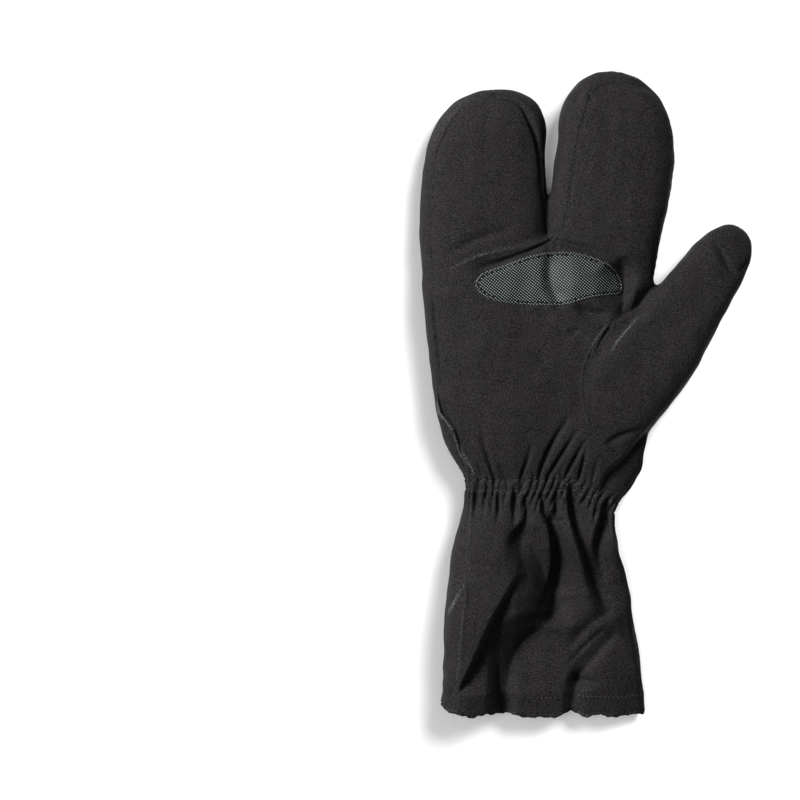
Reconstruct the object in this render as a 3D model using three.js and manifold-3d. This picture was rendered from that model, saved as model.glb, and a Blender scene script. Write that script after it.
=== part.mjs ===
import * as THREE from "three";
import { mergeVertices } from "three/addons/utils/BufferGeometryUtils.js";
import Module from "manifold-3d";

// A right-hand three-finger overmitt with a gauntlet cuff, lying on its back with the palm up.
// Sizes are in millimetres. +Y runs from the hem to the fingertips, +X to the thumb side, +Z out of the palm.

const wasm = await Module();
wasm.setup();

// Cloth and the gap between sewn pieces
const cloth = 1.4;
const seamGap = 0.3;

// How round the cut through the mitt is: 2 is an ellipse, more is flatter with tighter sides
const upperRoundness = 2.7;
const lowerRoundness = 3.2;
const waistShare = 0.45; // height of the widest line, as a share of the thickness
const settle = 1.2; // how far its own weight presses the underside flat

// The elastic across the wrist: level on the little finger side, dropping to the thumb side
const elastic = { y: -50, drop: 12.5, dropFrom: -8, dropTo: 16, width: 6, thickness: 1 };
const wristGathers = { depth: 1.5, reachUp: 13, reachDown: 15 };
const hemGathers = { depth: 0.7, reach: 6, from: -175 };
const hem = { from: -175, to: -168, proud: 0.6, inside: 0.9 };

// Sections of the palm and cuff; seams are measured in from each side
const sleeve = [
  { y: -175, left: -78, right: 31, floor: 0.6, top: 29, seamLeft: 7, seamRight: 3 },
  { y: -150, left: -77, right: 29, floor: 0, top: 32, seamLeft: 8, seamRight: 3 },
  { y: -112, left: -75, right: 24, floor: 0, top: 32, seamLeft: 8, seamRight: 3 },
  { y: -86, left: -72, right: 18, floor: 0.5, top: 29, seamLeft: 7, seamRight: 3 },
  { y: -69, left: -68, right: 16, floor: 2, top: 25, seamLeft: 5, seamRight: 3 },
  { y: -60, left: -66.5, right: 17.5, floor: 3, top: 23, seamLeft: 4, seamRight: 3 },
  { y: -52, left: -65.6, right: 23.5, floor: 3, top: 22.5, seamLeft: 4, seamRight: 3 },
  { y: -44, left: -66.3, right: 28.7, floor: 2, top: 23.5, seamLeft: 5, seamRight: 3 },
  { y: -30, left: -74.3, right: 32.1, floor: 0.5, top: 26, seamLeft: 8, seamRight: 3 },
  { y: -8, left: -81.3, right: 34.8, floor: 0, top: 28, seamLeft: 6, seamRight: 3 },
  { y: 26, left: -85, right: 36, floor: 0, top: 28.5, seamLeft: 5, seamRight: 3 },
  { y: 56, left: -88.3, right: 36.5, floor: 0, top: 28, seamLeft: 5, seamRight: 3 },
  { y: 72, left: -88, right: 38, floor: 0, top: 26.4, seamLeft: 5, seamRight: 3 },
];
const sleeveStations = [-175, -168, -154, -139, -124, -109, -94, -80, -69, -60, -53, -46, -36, -18, 20, 72];
const sleeveEnd = { length: 12, shift: 0, bluntness: 0.4, steps: 2, tipSeam: 3 };

// Sections of the lobe for the ring and little fingers, then its rounded tip
const outerLobe = [
  { y: 44, left: -86.4, right: -25, floor: 0, top: 25.6, seamLeft: 5, seamRight: 0.5 },
  { y: 84, left: -89.4, right: -21.6, floor: 0, top: 26, seamLeft: 5, seamRight: 0.5 },
  { y: 100, left: -88.9, right: -21.2, floor: 0, top: 26, seamLeft: 5, seamRight: 2.5 },
  { y: 120, left: -88, right: -20.9, floor: 0, top: 25.5, seamLeft: 5, seamRight: 3.5 },
  { y: 134, left: -86.1, right: -20.9, floor: 0, top: 25, seamLeft: 6, seamRight: 4 },
];
const outerLobeStations = [44, 90, 112, 134];
const outerLobeEnd = { length: 31, shift: 6, bluntness: 1, steps: 5, tipSeam: 6 };

// Sections of the longer lobe for the index and middle fingers, then its rounded tip
const innerLobe = [
  { y: 44, left: -14, right: 34.8, floor: 0, top: 25.6, seamLeft: 0.5, seamRight: 3 },
  { y: 84, left: -19.6, right: 40, floor: 0, top: 26, seamLeft: 0.5, seamRight: 3 },
  { y: 100, left: -19.3, right: 43.8, floor: 0, top: 26.5, seamLeft: 8, seamRight: 3 },
  { y: 124, left: -17, right: 47.8, floor: 0, top: 26, seamLeft: 10.5, seamRight: 4 },
  { y: 138, left: -14.9, right: 46.9, floor: 0, top: 25.5, seamLeft: 11, seamRight: 5 },
];
const innerLobeStations = [44, 90, 114, 138];
const innerLobeEnd = { length: 37, shift: -3.5, bluntness: 1, steps: 5, tipSeam: 7 };

// The thumb is drawn upright from its own base, then laid over at its angle
const thumbBase = { x: 7.8, y: -14, angle: 38 };
const thumb = [
  { y: -16, left: -16, right: 12, floor: 3, top: 24 },
  { y: 8, left: -25, right: 24, floor: 2, top: 29 },
  { y: 30, left: -28, right: 24.5, floor: 1, top: 31 },
  { y: 54, left: -21.8, right: 23.5, floor: 1, top: 30 },
  { y: 72, left: -20.5, right: 20, floor: 1, top: 28 },
  { y: 98, left: -18.4, right: 15.2, floor: 1.5, top: 25 },
];
const thumbStations = [-16, 8, 32, 54, 76, 98];
const thumbEnd = { length: 30.6, shift: -2, bluntness: 0.9, steps: 5 };
const thumbSeam = { x: 29.4, y: 3.2, halfWidth: 31.9, halfLength: 39.4, waist: 13 };

// Cut lines seen from above. Their far ends lie clear of the mitt, and a wider cut moves each point
// along pushX and pushY.
const farLeft = -120;
const farRight = 120;
const farUp = 220;
const above = 100;
const below = -20;
const sideSeamHeight = 12;
const fourchetteHeight = 5;
const fourchetteOutline = [
  { x: -26, y: 79, pushX: -1, pushY: -1 },
  { x: -13, y: 79, pushX: 1, pushY: -1 },
  { x: 18, y: 176, pushX: 1, pushY: 1 },
  { x: 2, y: farUp, pushX: 0, pushY: 0 },
  { x: -40, y: farUp, pushX: 0, pushY: 0 },
  { x: -50, y: 166, pushX: -1, pushY: 1 },
];
const thumbCrotch = [
  { x: 20, y: 40, pushX: -1, pushY: 0 },
  { x: 38, y: 40, pushX: 0, pushY: 0 },
  { x: 38, y: 60, pushX: 0, pushY: 1 },
  { x: 34.5, y: 56.5, pushX: -1, pushY: 1 },
];
const pastTheHand = [
  { x: 37, y: -34, pushX: -1, pushY: 0 },
  { x: farRight, y: -34, pushX: 0, pushY: 0 },
  { x: farRight, y: 110, pushX: 0, pushY: 0 },
  { x: 66, y: 110, pushX: -1, pushY: 0 },
  { x: 38.5, y: 60.5, pushX: -1, pushY: 0 },
  { x: 37, y: 56, pushX: -1, pushY: 0 },
];

// Folds pressed into the palm side: a line from one point to another, bowed sideways, with a depth and a width
const folds = [
  { name: "centre pleat", x1: -18, y1: -68, x2: -20, y2: -118, bow: -2, depth: 8, width: 6.5 },
  { name: "pleat beside it", x1: -6, y1: -62, x2: 10, y2: -116, bow: 2, depth: 4.5, width: 5 },
  { name: "long slant", x1: -36, y1: -106, x2: -68, y2: -160, bow: 2, depth: 6, width: 6 },
  { name: "hem hollow", x1: -28, y1: -116, x2: -47, y2: -165, bow: -4, depth: 9, width: 7 },
  { name: "upper crease", x1: 17, y1: -121, x2: -11, y2: -140, bow: 3, depth: 2.5, width: 4 },
  { name: "lower crease", x1: 16, y1: -133, x2: -11, y2: -166, bow: 4, depth: 5, width: 5 },
  { name: "thumb side pleat", x1: 9, y1: -62, x2: 5, y2: -86, bow: 0, depth: 3, width: 4.5 },
  { name: "blouse at the heel", x1: -15, y1: -20, x2: -25, y2: -44, bow: 0, depth: 3, width: 4.5 },
  { name: "blouse beside it", x1: -5, y1: -25, x2: -18, y2: -43, bow: 0, depth: 2.2, width: 4 },
  { name: "heel pocket", x1: 24, y1: -36, x2: 12, y2: -46, bow: 2, depth: 4, width: 5 },
  { name: "below the thumb", x1: 34, y1: -22, x2: 12, y2: -28, bow: 2, depth: 2.5, width: 4.5 },
];

// The grip patch: a lens with its own place, size, tilt and stand-off
const patch = { x: -19.6, y: 62, halfLength: 40.5, halfWidth: 14.6, tilt: 2, sharpness: 1.45, thickness: 0.9 };

// Number of points round each tube; the sleeve has three to a gather
const gatherCount = 18;
const sleevePoints = gatherCount * 3;
const lobePoints = 20;
const thumbPoints = 20;

// Plain cubic through the rows of a table, column by column
function sectionAt(rows, y) {
  let next = rows.findIndex((row) => row.y >= y);
  next = next < 0 ? rows.length - 1 : Math.max(next, 1);
  const [a, b] = [rows[next - 1], rows[next]];
  const before = rows[Math.max(next - 2, 0)];
  const after = rows[Math.min(next + 1, rows.length - 1)];
  const span = b.y - a.y;
  const t = THREE.MathUtils.clamp((y - a.y) / span, 0, 1);
  const section = {};
  for (const column of Object.keys(a)) {
    const slopeA = ((b[column] - before[column]) / (b.y - before.y)) * span;
    const slopeB = ((after[column] - a[column]) / (after.y - a.y)) * span;
    section[column] =
      (2 * t ** 3 - 3 * t ** 2 + 1) * a[column] +
      (t ** 3 - 2 * t ** 2 + t) * slopeA +
      (3 * t ** 2 - 2 * t ** 3) * b[column] +
      (t ** 3 - t ** 2) * slopeB;
  }
  section.y = y;
  return section;
}

// One cut through a tube: evenly spaced points of a lying pillow shape, drawn in by inset and
// scaled about its middle
function pillow(section, inset, scale, shift, points) {
  const middle = (section.left + section.right) / 2 + shift;
  const waist = section.floor + (section.top - section.floor) * waistShare;
  const halfWidth = ((section.right - section.left) / 2 - inset) * scale;
  const rise = (section.top - waist - inset) * scale;
  const sink = (waist - section.floor - inset + settle) * scale;
  const lowest = Math.max(inset, 0);
  const power = (value, exponent) => Math.sign(value) * Math.abs(value) ** exponent;
  const fine = 720;
  const walk = [];
  for (let i = 0; i <= fine; i++) {
    const angle = (i / fine) * 2 * Math.PI;
    const upper = angle <= Math.PI;
    const exponent = 2 / (upper ? upperRoundness : lowerRoundness);
    const x = middle + halfWidth * power(Math.cos(angle), exponent);
    const z = waist + (upper ? rise : sink) * power(Math.sin(angle), exponent);
    walk.push(new THREE.Vector2(x, Math.max(z, lowest)));
  }
  const lengths = [0];
  for (let i = 1; i <= fine; i++) lengths.push(lengths[i - 1] + walk[i].distanceTo(walk[i - 1]));
  const ring = [];
  let step = 1;
  for (let i = 0; i < points; i++) {
    const target = (i / points) * lengths[fine];
    while (lengths[step] < target) step++;
    const share = (target - lengths[step - 1]) / (lengths[step] - lengths[step - 1]);
    ring.push(walk[step - 1].clone().lerp(walk[step], share));
  }
  return { ring, waist, rise };
}

function elasticLine(x) {
  return elastic.y - elastic.drop * THREE.MathUtils.smoothstep(x, elastic.dropFrom, elastic.dropTo);
}

// How far the folds press the palm side down at a point
function foldDepth(x, y) {
  let depth = 0;
  for (const fold of folds) {
    const along = new THREE.Vector2(fold.x2 - fold.x1, fold.y2 - fold.y1);
    const length = along.length();
    along.divideScalar(length);
    const reach = (x - fold.x1) * along.x + (y - fold.y1) * along.y;
    const share = reach / length;
    const inside = THREE.MathUtils.clamp(share, 0, 1);
    const bowed = fold.bow * 4 * inside * (1 - inside);
    const aside = (x - fold.x1) * -along.y + (y - fold.y1) * along.x - bowed;
    const past = Math.max(0, -reach, reach - length);
    depth += fold.depth * Math.exp(-((aside ** 2 + past ** 2) / fold.width ** 2));
  }
  return depth;
}

// Height of the gathers at a point: full on the elastic, fading into the palm and the cuff, with
// small ones on the hem
function gatherHeight(x, y) {
  const above = y - elasticLine(x);
  const reach = above > 0 ? wristGathers.reachUp : wristGathers.reachDown;
  const wrist = wristGathers.depth * Math.exp(-((above / reach) ** 2));
  const edge = hemGathers.depth * Math.exp(-(((y - hemGathers.from) / hemGathers.reach) ** 2));
  return wrist + edge;
}

// Relief of the sleeve: gathers lift the wall along its own normal, folds sink the palm side
function sleeveRelief(plain, i, y) {
  const { ring } = plain;
  const point = ring[i];
  const ahead = ring[(i + 1) % ring.length];
  const behind = ring[(i - 1 + ring.length) % ring.length];
  const normal = new THREE.Vector2(ahead.y - behind.y, behind.x - ahead.x).normalize();
  const wave = Math.cos((2 * Math.PI * i * gatherCount) / ring.length);
  return normal.multiplyScalar(gatherHeight(point.x, y) * (wave - 0.5)).add(foldRelief(plain, i, y));
}

// The folds alone, fading out round the sides
function foldRelief({ ring, waist, rise }, i, y) {
  const point = ring[i];
  const upper = Math.sqrt(THREE.MathUtils.clamp((point.y - waist) / rise, 0, 1));
  return new THREE.Vector2(0, -foldDepth(point.x, y) * upper);
}

// A closed tube through a list of sections, with an optional rounded tip
function tube(rows, stations, end, points, inset, relief) {
  const rings = stations.map((y) => ({ y, scale: 1, shift: 0, section: sectionAt(rows, y) }));
  if (end) {
    const last = rings.at(-1);
    for (let k = 1; k <= end.steps; k++) {
      const turn = (k / end.steps) * 0.97 * (Math.PI / 2);
      const scale = Math.cos(turn) ** end.bluntness;
      const shift = end.shift * Math.sin(turn);
      const y = last.y + (end.length - inset) * Math.sin(turn);
      rings.push({ y, scale, shift, section: last.section });
    }
  }
  const positions = [];
  const lowest = Math.max(inset, 0);
  for (const { y, scale, shift, section } of rings) {
    const shaped = pillow(section, inset, scale, shift, points);
    const plain = pillow(section, 0, scale, shift, points);
    shaped.ring.forEach((point, i) => {
      const move = relief ? relief(plain, i, y) : new THREE.Vector2();
      positions.push(point.x + move.x, y, Math.max(point.y + move.y, lowest));
    });
  }
  const triangles = [];
  const finish = (rings.length - 1) * points;
  const caps = positions.length / 3;
  for (const first of [0, finish]) {
    const middle = new THREE.Vector3();
    for (let i = 0; i < points; i++) middle.add(new THREE.Vector3().fromArray(positions, (first + i) * 3));
    positions.push(...middle.divideScalar(points));
  }
  for (let i = 0; i < points; i++) {
    const j = (i + 1) % points;
    for (let r = 0; r < rings.length - 1; r++) {
      const [a, b] = [r * points, (r + 1) * points];
      triangles.push(a + i, b + i, b + j, a + i, b + j, a + j);
    }
    triangles.push(caps, i, j, caps + 1, finish + j, finish + i);
  }
  return solid(positions, triangles);
}

function solid(positions, triangles) {
  const mesh = new wasm.Mesh({
    numProp: 3,
    vertProperties: new Float32Array(positions),
    triVerts: new Uint32Array(triangles),
  });
  return new wasm.Manifold(mesh);
}

// The points of a cut line, each pushed outwards by grow
const pushed = (outline, grow) => outline.map(({ x, y, pushX, pushY }) => [x + grow * pushX, y + grow * pushY]);

// A straight-sided block over an outline drawn in the XY plane
function block(outline, low, high) {
  const shape = new THREE.Shape(outline.map(([x, y]) => new THREE.Vector2(x, y)));
  const geometry = new THREE.ExtrudeGeometry(shape, { depth: high - low, bevelEnabled: false });
  geometry.translate(0, 0, low);
  geometry.deleteAttribute("normal");
  geometry.deleteAttribute("uv");
  const merged = mergeVertices(geometry, 1e-4);
  return solid(merged.attributes.position.array, merged.index.array);
}

// Outline of a tube seen from above, drawn in to its seams
function seamOutline(rows, stations, end, grow) {
  const left = [];
  const right = [];
  for (const y of stations) {
    const section = sectionAt(rows, y);
    left.push([section.left + section.seamLeft - grow, y]);
    right.push([section.right - section.seamRight + grow, y]);
  }
  const last = sectionAt(rows, stations.at(-1));
  const middle = (last.left + last.right) / 2;
  const turns = 8;
  for (let k = 1; k < turns; k++) {
    const turn = (k / turns) * (Math.PI / 2);
    const scale = Math.cos(turn) ** end.bluntness;
    const x = middle + end.shift * Math.sin(turn);
    const y = last.y + (end.length - end.tipSeam + grow) * Math.sin(turn);
    left.push([x + (last.left + last.seamLeft - grow - middle) * scale, y]);
    right.push([x + (last.right - last.seamRight + grow - middle) * scale, y]);
  }
  return [...right, ...left.reverse()];
}

const innerStations = sleeveStations.with(0, hem.from - 4);

function thumbTube(inset) {
  const turned = tube(thumb, thumbStations, thumbEnd, thumbPoints, inset);
  return turned.rotate([0, 0, -thumbBase.angle]).translate([thumbBase.x, thumbBase.y, 0]);
}

// The whole mitt drawn in by inset, as one closed volume
function volume(inset) {
  const stations = inset > 0 ? innerStations : sleeveStations;
  return tube(sleeve, stations, sleeveEnd, sleevePoints, inset, sleeveRelief)
    .add(tube(outerLobe, outerLobeStations, outerLobeEnd, lobePoints, inset))
    .add(tube(innerLobe, innerLobeStations, innerLobeEnd, lobePoints, inset))
    .add(thumbTube(inset));
}

// Everything on the fingers' side of the elastic, raised by grow
function aboveElastic(grow) {
  const line = [];
  for (let x = farLeft; x <= farRight; x += 4) line.push([x, elasticLine(x) - grow]);
  return block([...line, [farRight, farUp], [farLeft, farUp]], below, above);
}

const palmCut = (grow) =>
  block(seamOutline(sleeve, sleeveStations, sleeveEnd, grow), sideSeamHeight - grow, above)
    .add(block(seamOutline(outerLobe, outerLobeStations, outerLobeEnd, grow), sideSeamHeight - grow, above))
    .add(block(seamOutline(innerLobe, innerLobeStations, innerLobeEnd, grow), sideSeamHeight - grow, above));

// The strip between the lobes, from one fingertip down into the crotch and up to the other
const fourchetteCut = (grow) => block(pushed(fourchetteOutline, grow), fourchetteHeight - grow, above);

// The thumb: the oval set into the palm, and all that stands past the side of the hand
function thumbCut(grow) {
  const oval = [];
  const turns = 22;
  for (let i = 0; i < turns; i++) {
    const angle = (i / turns) * 2 * Math.PI;
    oval.push([
      thumbSeam.x + (thumbSeam.halfWidth + grow) * Math.cos(angle),
      thumbSeam.y + (thumbSeam.halfLength + grow) * Math.sin(angle),
    ]);
  }
  return block(oval, thumbSeam.waist - grow, above)
    .add(block(pushed(thumbCrotch, grow), thumbSeam.waist - grow, above))
    .add(block(pushed(pastTheHand, grow), below, above));
}

function lens() {
  const outline = [];
  const turns = 24;
  for (let i = 0; i < turns; i++) {
    const angle = (i / turns) * 2 * Math.PI;
    const bulge = Math.sign(Math.sin(angle)) * Math.abs(Math.sin(angle)) ** patch.sharpness;
    const point = new THREE.Vector2(patch.halfLength * Math.cos(angle), patch.halfWidth * bulge);
    point.rotateAround(new THREE.Vector2(), THREE.MathUtils.degToRad(patch.tilt));
    outline.push([patch.x + point.x, patch.y + point.y]);
  }
  return block(outline, sideSeamHeight, above);
}

const aboveHem = block(
  [
    [farLeft, hem.to + seamGap],
    [farRight, hem.to + seamGap],
    [farRight, farUp],
    [farLeft, farUp],
  ],
  below,
  above,
);

const shell = volume(0).subtract(volume(cloth)).intersect(aboveHem);
const hand = shell.intersect(aboveElastic(-seamGap / 2));
const cuff = shell.subtract(aboveElastic(seamGap / 2));

const palmPanel = hand.intersect(palmCut(0)).subtract(thumbCut(seamGap));
const thumbPiece = hand.intersect(thumbCut(0));
const sides = hand.subtract(palmCut(seamGap)).subtract(thumbCut(seamGap));
const fourchette = sides.intersect(fourchetteCut(0));
const backPanel = sides.subtract(fourchetteCut(seamGap));
const cuffPalm = cuff.intersect(palmCut(0));
const cuffBack = cuff.subtract(palmCut(seamGap));

const patchTop = volume(-seamGap - patch.thickness);
const gripPatch = patchTop.subtract(volume(-seamGap)).intersect(lens());

// The hem is turned over a cord of elastic, so it stands a little proud inside and out
const hemStations = [hem.from, (hem.from + hem.to) / 2, hem.to];
const hemInside = [hem.from - 2, (hem.from + hem.to) / 2, hem.to + 2];
const hemCasing = tube(sleeve, hemStations, null, sleevePoints, -hem.proud, sleeveRelief).subtract(
  tube(sleeve, hemInside, null, sleevePoints, cloth + hem.inside, sleeveRelief),
);

// The wrist elastic lies inside the gathers, against their valleys
const bandStations = [-69, -60, -53, -46, -36];
const bandInset = cloth + seamGap + wristGathers.depth * 1.5;
const bandPoints = sleevePoints / 2;
const wristElastic = tube(sleeve, bandStations, null, bandPoints, bandInset, foldRelief)
  .subtract(tube(sleeve, bandStations, null, bandPoints, bandInset + elastic.thickness, foldRelief))
  .intersect(aboveElastic(elastic.width / 2))
  .subtract(aboveElastic(-elastic.width / 2));

const shellCloth = new THREE.MeshStandardMaterial({ color: 0x232122, roughness: 0.85, metalness: 0 });
const patchMesh = new THREE.MeshStandardMaterial({ color: 0x3b423d, roughness: 0.6, metalness: 0 });
const elasticTape = new THREE.MeshStandardMaterial({ color: 0x161616, roughness: 0.9, metalness: 0 });

const pieces = [
  ["palm_panel", palmPanel, shellCloth],
  ["back_panel", backPanel, shellCloth],
  ["fourchette", fourchette, shellCloth],
  ["thumb", thumbPiece, shellCloth],
  ["grip_patch", gripPatch, patchMesh],
  ["cuff_palm", cuffPalm, shellCloth],
  ["cuff_back", cuffBack, shellCloth],
  ["wrist_elastic", wristElastic, elasticTape],
  ["hem_casing", hemCasing, shellCloth],
];

const mitt = new THREE.Group();
for (const [name, piece, material] of pieces) {
  const { vertProperties, triVerts } = piece.getMesh();
  const geometry = new THREE.BufferGeometry();
  geometry.setAttribute("position", new THREE.BufferAttribute(vertProperties, 3));
  geometry.setIndex(new THREE.BufferAttribute(triVerts, 1));
  geometry.computeVertexNormals();
  const mesh = new THREE.Mesh(geometry, material);
  mesh.name = name;
  mitt.add(mesh);
}

// The origin is the middle of the footprint, on the surface that the mitt lies on
const extent = new THREE.Box3().setFromObject(mitt, true);
const centre = extent.getCenter(new THREE.Vector3());
mitt.position.set(-centre.x, -centre.y, -extent.min.z);

export default mitt;
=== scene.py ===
import math
import bpy
import numpy as np
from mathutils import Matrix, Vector
from mathutils.bvhtree import BVHTree


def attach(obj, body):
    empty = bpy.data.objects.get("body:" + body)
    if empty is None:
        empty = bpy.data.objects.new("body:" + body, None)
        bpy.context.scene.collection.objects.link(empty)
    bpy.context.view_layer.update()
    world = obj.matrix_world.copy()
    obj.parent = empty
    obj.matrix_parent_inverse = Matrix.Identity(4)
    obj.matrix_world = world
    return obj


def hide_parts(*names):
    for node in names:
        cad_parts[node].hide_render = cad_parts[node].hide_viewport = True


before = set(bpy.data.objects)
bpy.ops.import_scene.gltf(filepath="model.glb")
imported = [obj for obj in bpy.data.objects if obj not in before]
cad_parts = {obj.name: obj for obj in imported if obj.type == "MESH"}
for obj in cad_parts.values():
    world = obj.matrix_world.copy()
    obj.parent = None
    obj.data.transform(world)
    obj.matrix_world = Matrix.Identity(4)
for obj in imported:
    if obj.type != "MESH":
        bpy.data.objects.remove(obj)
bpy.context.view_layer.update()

# A right-hand overmitt with two finger lobes and a thumb, in thin dark shell cloth, lying palm up.
# Tables are in millimetres along the frame's own axes, and meshes are written in metres.

mm = 0.001
farAway = 1e9
print("frame loaded:", len(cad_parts), "nodes")


# Camera, lights and floor

view = {
    "middleX": -100.2, "middleY": -3.2,  # what the middle of the picture looks at
    "across": 432.0,  # width of the picture at the height of the mitt's widest line
    "widestLine": 12.6, "distance": 1300.0, "sensor": 36,
    "farthest": 20,  # metres
}


def addCamera():
    height = view["distance"] + view["widestLine"]
    bpy.ops.object.camera_add(
        location=(view["middleX"] * mm, view["middleY"] * mm, height * mm), rotation=(0, 0, 0),
    )
    camera = bpy.context.object
    camera.data.sensor_width = view["sensor"]
    camera.data.lens = view["sensor"] * view["distance"] / view["across"]
    camera.data.clip_end = view["farthest"]
    bpy.context.scene.camera = camera


lamps = {
    # name: place in metres, size, watts, and what it lights
    "windowLeft": {"at": (-1.45, 0.92, 1.42), "size": 0.75, "power": 107, "lights": "mitt"},
    "overhead": {"at": (0.0, 0.15, 1.7), "size": 1.3, "power": 4, "lights": "all"},
    "floorWash": {"at": (1.1, 1.4, 2.0), "size": 1.1, "power": 84, "lights": "floor"},
    "floorFill": {"at": (-0.55, -0.3, 1.6), "size": 1.0, "power": 15, "lights": "floor"},
}
studio = {"world": 0.09, "floorSize": 6, "floorGrey": 0.9, "floorRoughness": 0.9}


def addLamps(floor):
    target = Vector((0.0, 0.0, 0.0))
    for name, lamp in lamps.items():
        place = Vector(lamp["at"])
        bpy.ops.object.light_add(type="AREA", location=place)
        light = bpy.context.object
        light.name = name
        light.data.size = lamp["size"]
        light.data.energy = lamp["power"]
        light.rotation_euler = (target - place).to_track_quat("-Z", "Y").to_euler()
        if lamp["lights"] != "all":
            group = bpy.data.collections.new(name + "Lights")
            group.objects.link(floor)
            light.light_linking.receiver_collection = group
            if lamp["lights"] == "mitt":
                group.collection_objects[0].light_linking.link_state = "EXCLUDE"
    world = bpy.data.worlds.new("paleStudio")
    world.use_nodes = True
    background = world.node_tree.nodes["Background"]
    background.inputs["Color"].default_value = (1, 1, 1, 1)
    background.inputs["Strength"].default_value = studio["world"]
    bpy.context.scene.world = world


def newMaterial(name, roughness):
    material = bpy.data.materials.new(name)
    material.use_nodes = True
    shader = material.node_tree.nodes["Principled BSDF"]
    shader.inputs["Roughness"].default_value = roughness
    return material, material.node_tree, shader


def addFloor():
    bpy.ops.mesh.primitive_plane_add(size=studio["floorSize"], location=(0, 0, 0))
    floor = bpy.context.object
    floor.name = "floor"
    material, _, shader = newMaterial("paleFloor", studio["floorRoughness"])
    shader.inputs["Base Color"].default_value = (*[studio["floorGrey"]] * 3, 1)
    floor.data.materials.append(material)
    return floor


bpy.ops.object.select_all(action="DESELECT")
addCamera()
addLamps(addFloor())
bpy.context.scene.view_settings.view_transform = "Standard"
print("camera, lamps and floor")


# Sections of the mitt: left and right edge, lowest and highest point at each y

sectionColumns = ("y", "left", "right", "floor", "top")
sleeve = [
    (-186, -78.0, 31.3, 0.6, 29), (-168.5, -77.4, 31.1, 0.4, 29.5), (-151, -77.0, 28.9, 0, 32),
    (-138, -76.4, 27.8, 0, 32), (-125, -75.9, 25.7, 0, 32), (-112, -74.8, 24.0, 0, 32),
    (-99, -73.2, 21.3, 0.2, 30.5), (-86, -72.1, 18.1, 0.5, 29), (-78, -70.5, 16.8, 1.2, 27),
    (-69, -68.3, 15.2, 2, 25), (-64.8, -67.0, 15.0, 2.5, 24), (-60.5, -66.2, 16.8, 3, 23),
    (-56.2, -65.4, 19.2, 3, 22.5), (-51.8, -64.8, 22.8, 3, 22.5), (-47.5, -65.0, 26.4, 2.5, 23),
    (-43.2, -66.0, 28.9, 2, 23.6), (-38.9, -68.9, 30.5, 1.2, 24.7), (-30.2, -74.2, 32.1, 0.5, 26),
    (-21.6, -77.8, 34.3, 0.2, 27), (-8, -81.3, 34.8, 0, 28), (6.5, -82.9, 35.4, 0, 28.2),
    (26, -85.0, 36, 0, 28.5), (43, -87.2, 36.3, 0, 28.3), (56, -88.3, 36.5, 0, 28), (72, -88, 38, 0, 26.4),
]
sleeveEnd = {"length": 12, "shift": 0, "bluntness": 0.4, "roundness": 3.7}
outerLobe = [
    (44, -86.4, -25, 0, 25.6), (84, -89.4, -21.3, 0, 26), (100, -88.9, -21, 0, 26),
    (120, -88, -21.5, 0, 25.5), (134, -86.1, -21.9, 0, 25),
]
outerLobeEnd = {"length": 31, "shift": 7.1, "bluntness": 0.9, "roundness": 2.8}
innerLobe = [
    (44, -14, 34.8, 0, 25.6), (84, -19.8, 40, 0, 26), (100, -19.6, 43.8, 0, 26.5),
    (124, -16.7, 47.8, 0, 26), (138, -14.2, 46.9, 0, 25.5),
]
innerLobeEnd = {"length": 37, "shift": -2.6, "bluntness": 1, "roundness": 3}
thumb = [
    (-16, -16, 12, 3, 24), (8, -25, 24, 2, 29), (30, -28, 24.5, 1, 31),
    (54, -21.8, 23.5, 1, 30), (72, -20.5, 20, 1, 28), (98, -18.4, 15.2, 1.5, 25),
]
thumbEnd = {"length": 30.6, "shift": -1.4, "bluntness": 0.84, "roundness": 4}
thumbBase = {"x": 7.8, "y": -14, "angle": math.radians(38)}

shape = {
    "upperRoundness": 2.7, "lowerRoundness": 3.2, "waistShare": 0.45, "settle": 1.2,
    "ringPoints": 180, "ringStep": 2.5, "ringSamples": 721, "tipSteps": 26, "tipReach": 0.995,
    "voxel": 1.1, "smoothing": 14,
    "snap": 0.04,  # points nearer than this to a cut are taken as lying on it
}
usualRing = {"halfWidth": 42, "halfHeight": 12, "longer": 1.08}  # stands for all rings of the sleeve


def smoothstep(value, low, high):
    t = np.clip((value - low) / (high - low), 0, 1)
    return t * t * (3 - 2 * t)


def signedPower(value, power):
    return np.sign(value) * np.abs(value) ** power


# Plain cubic through the rows of a table, column by column
def sectionsAt(rows, y):
    table = np.array(rows, float)
    y = np.asarray(y, float)
    following = np.clip(np.searchsorted(table[:, 0], y), 1, len(table) - 1)
    a, b = table[following - 1], table[following]
    before = table[np.maximum(following - 2, 0)]
    after = table[np.minimum(following + 1, len(table) - 1)]
    span = (b[..., 0] - a[..., 0])[..., None]
    t = np.clip((y[..., None] - a[..., :1]) / span, 0, 1)
    slopeA = (b - before) / (b[..., :1] - before[..., :1]) * span
    slopeB = (after - a) / (after[..., :1] - a[..., :1]) * span
    row = (
        (2 * t**3 - 3 * t**2 + 1) * a + (t**3 - 2 * t**2 + t) * slopeA
        + (3 * t**2 - 2 * t**3) * b + (t**3 - t**2) * slopeB
    )
    return {name: row[..., i] for i, name in enumerate(sectionColumns)}


# The height at which a section is widest
def waistOf(section):
    return section["floor"] + (section["top"] - section["floor"]) * shape["waistShare"]


def walkedAlong(x, z):
    return np.concatenate([[0], np.cumsum(np.hypot(np.diff(x), np.diff(z)))])


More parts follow.
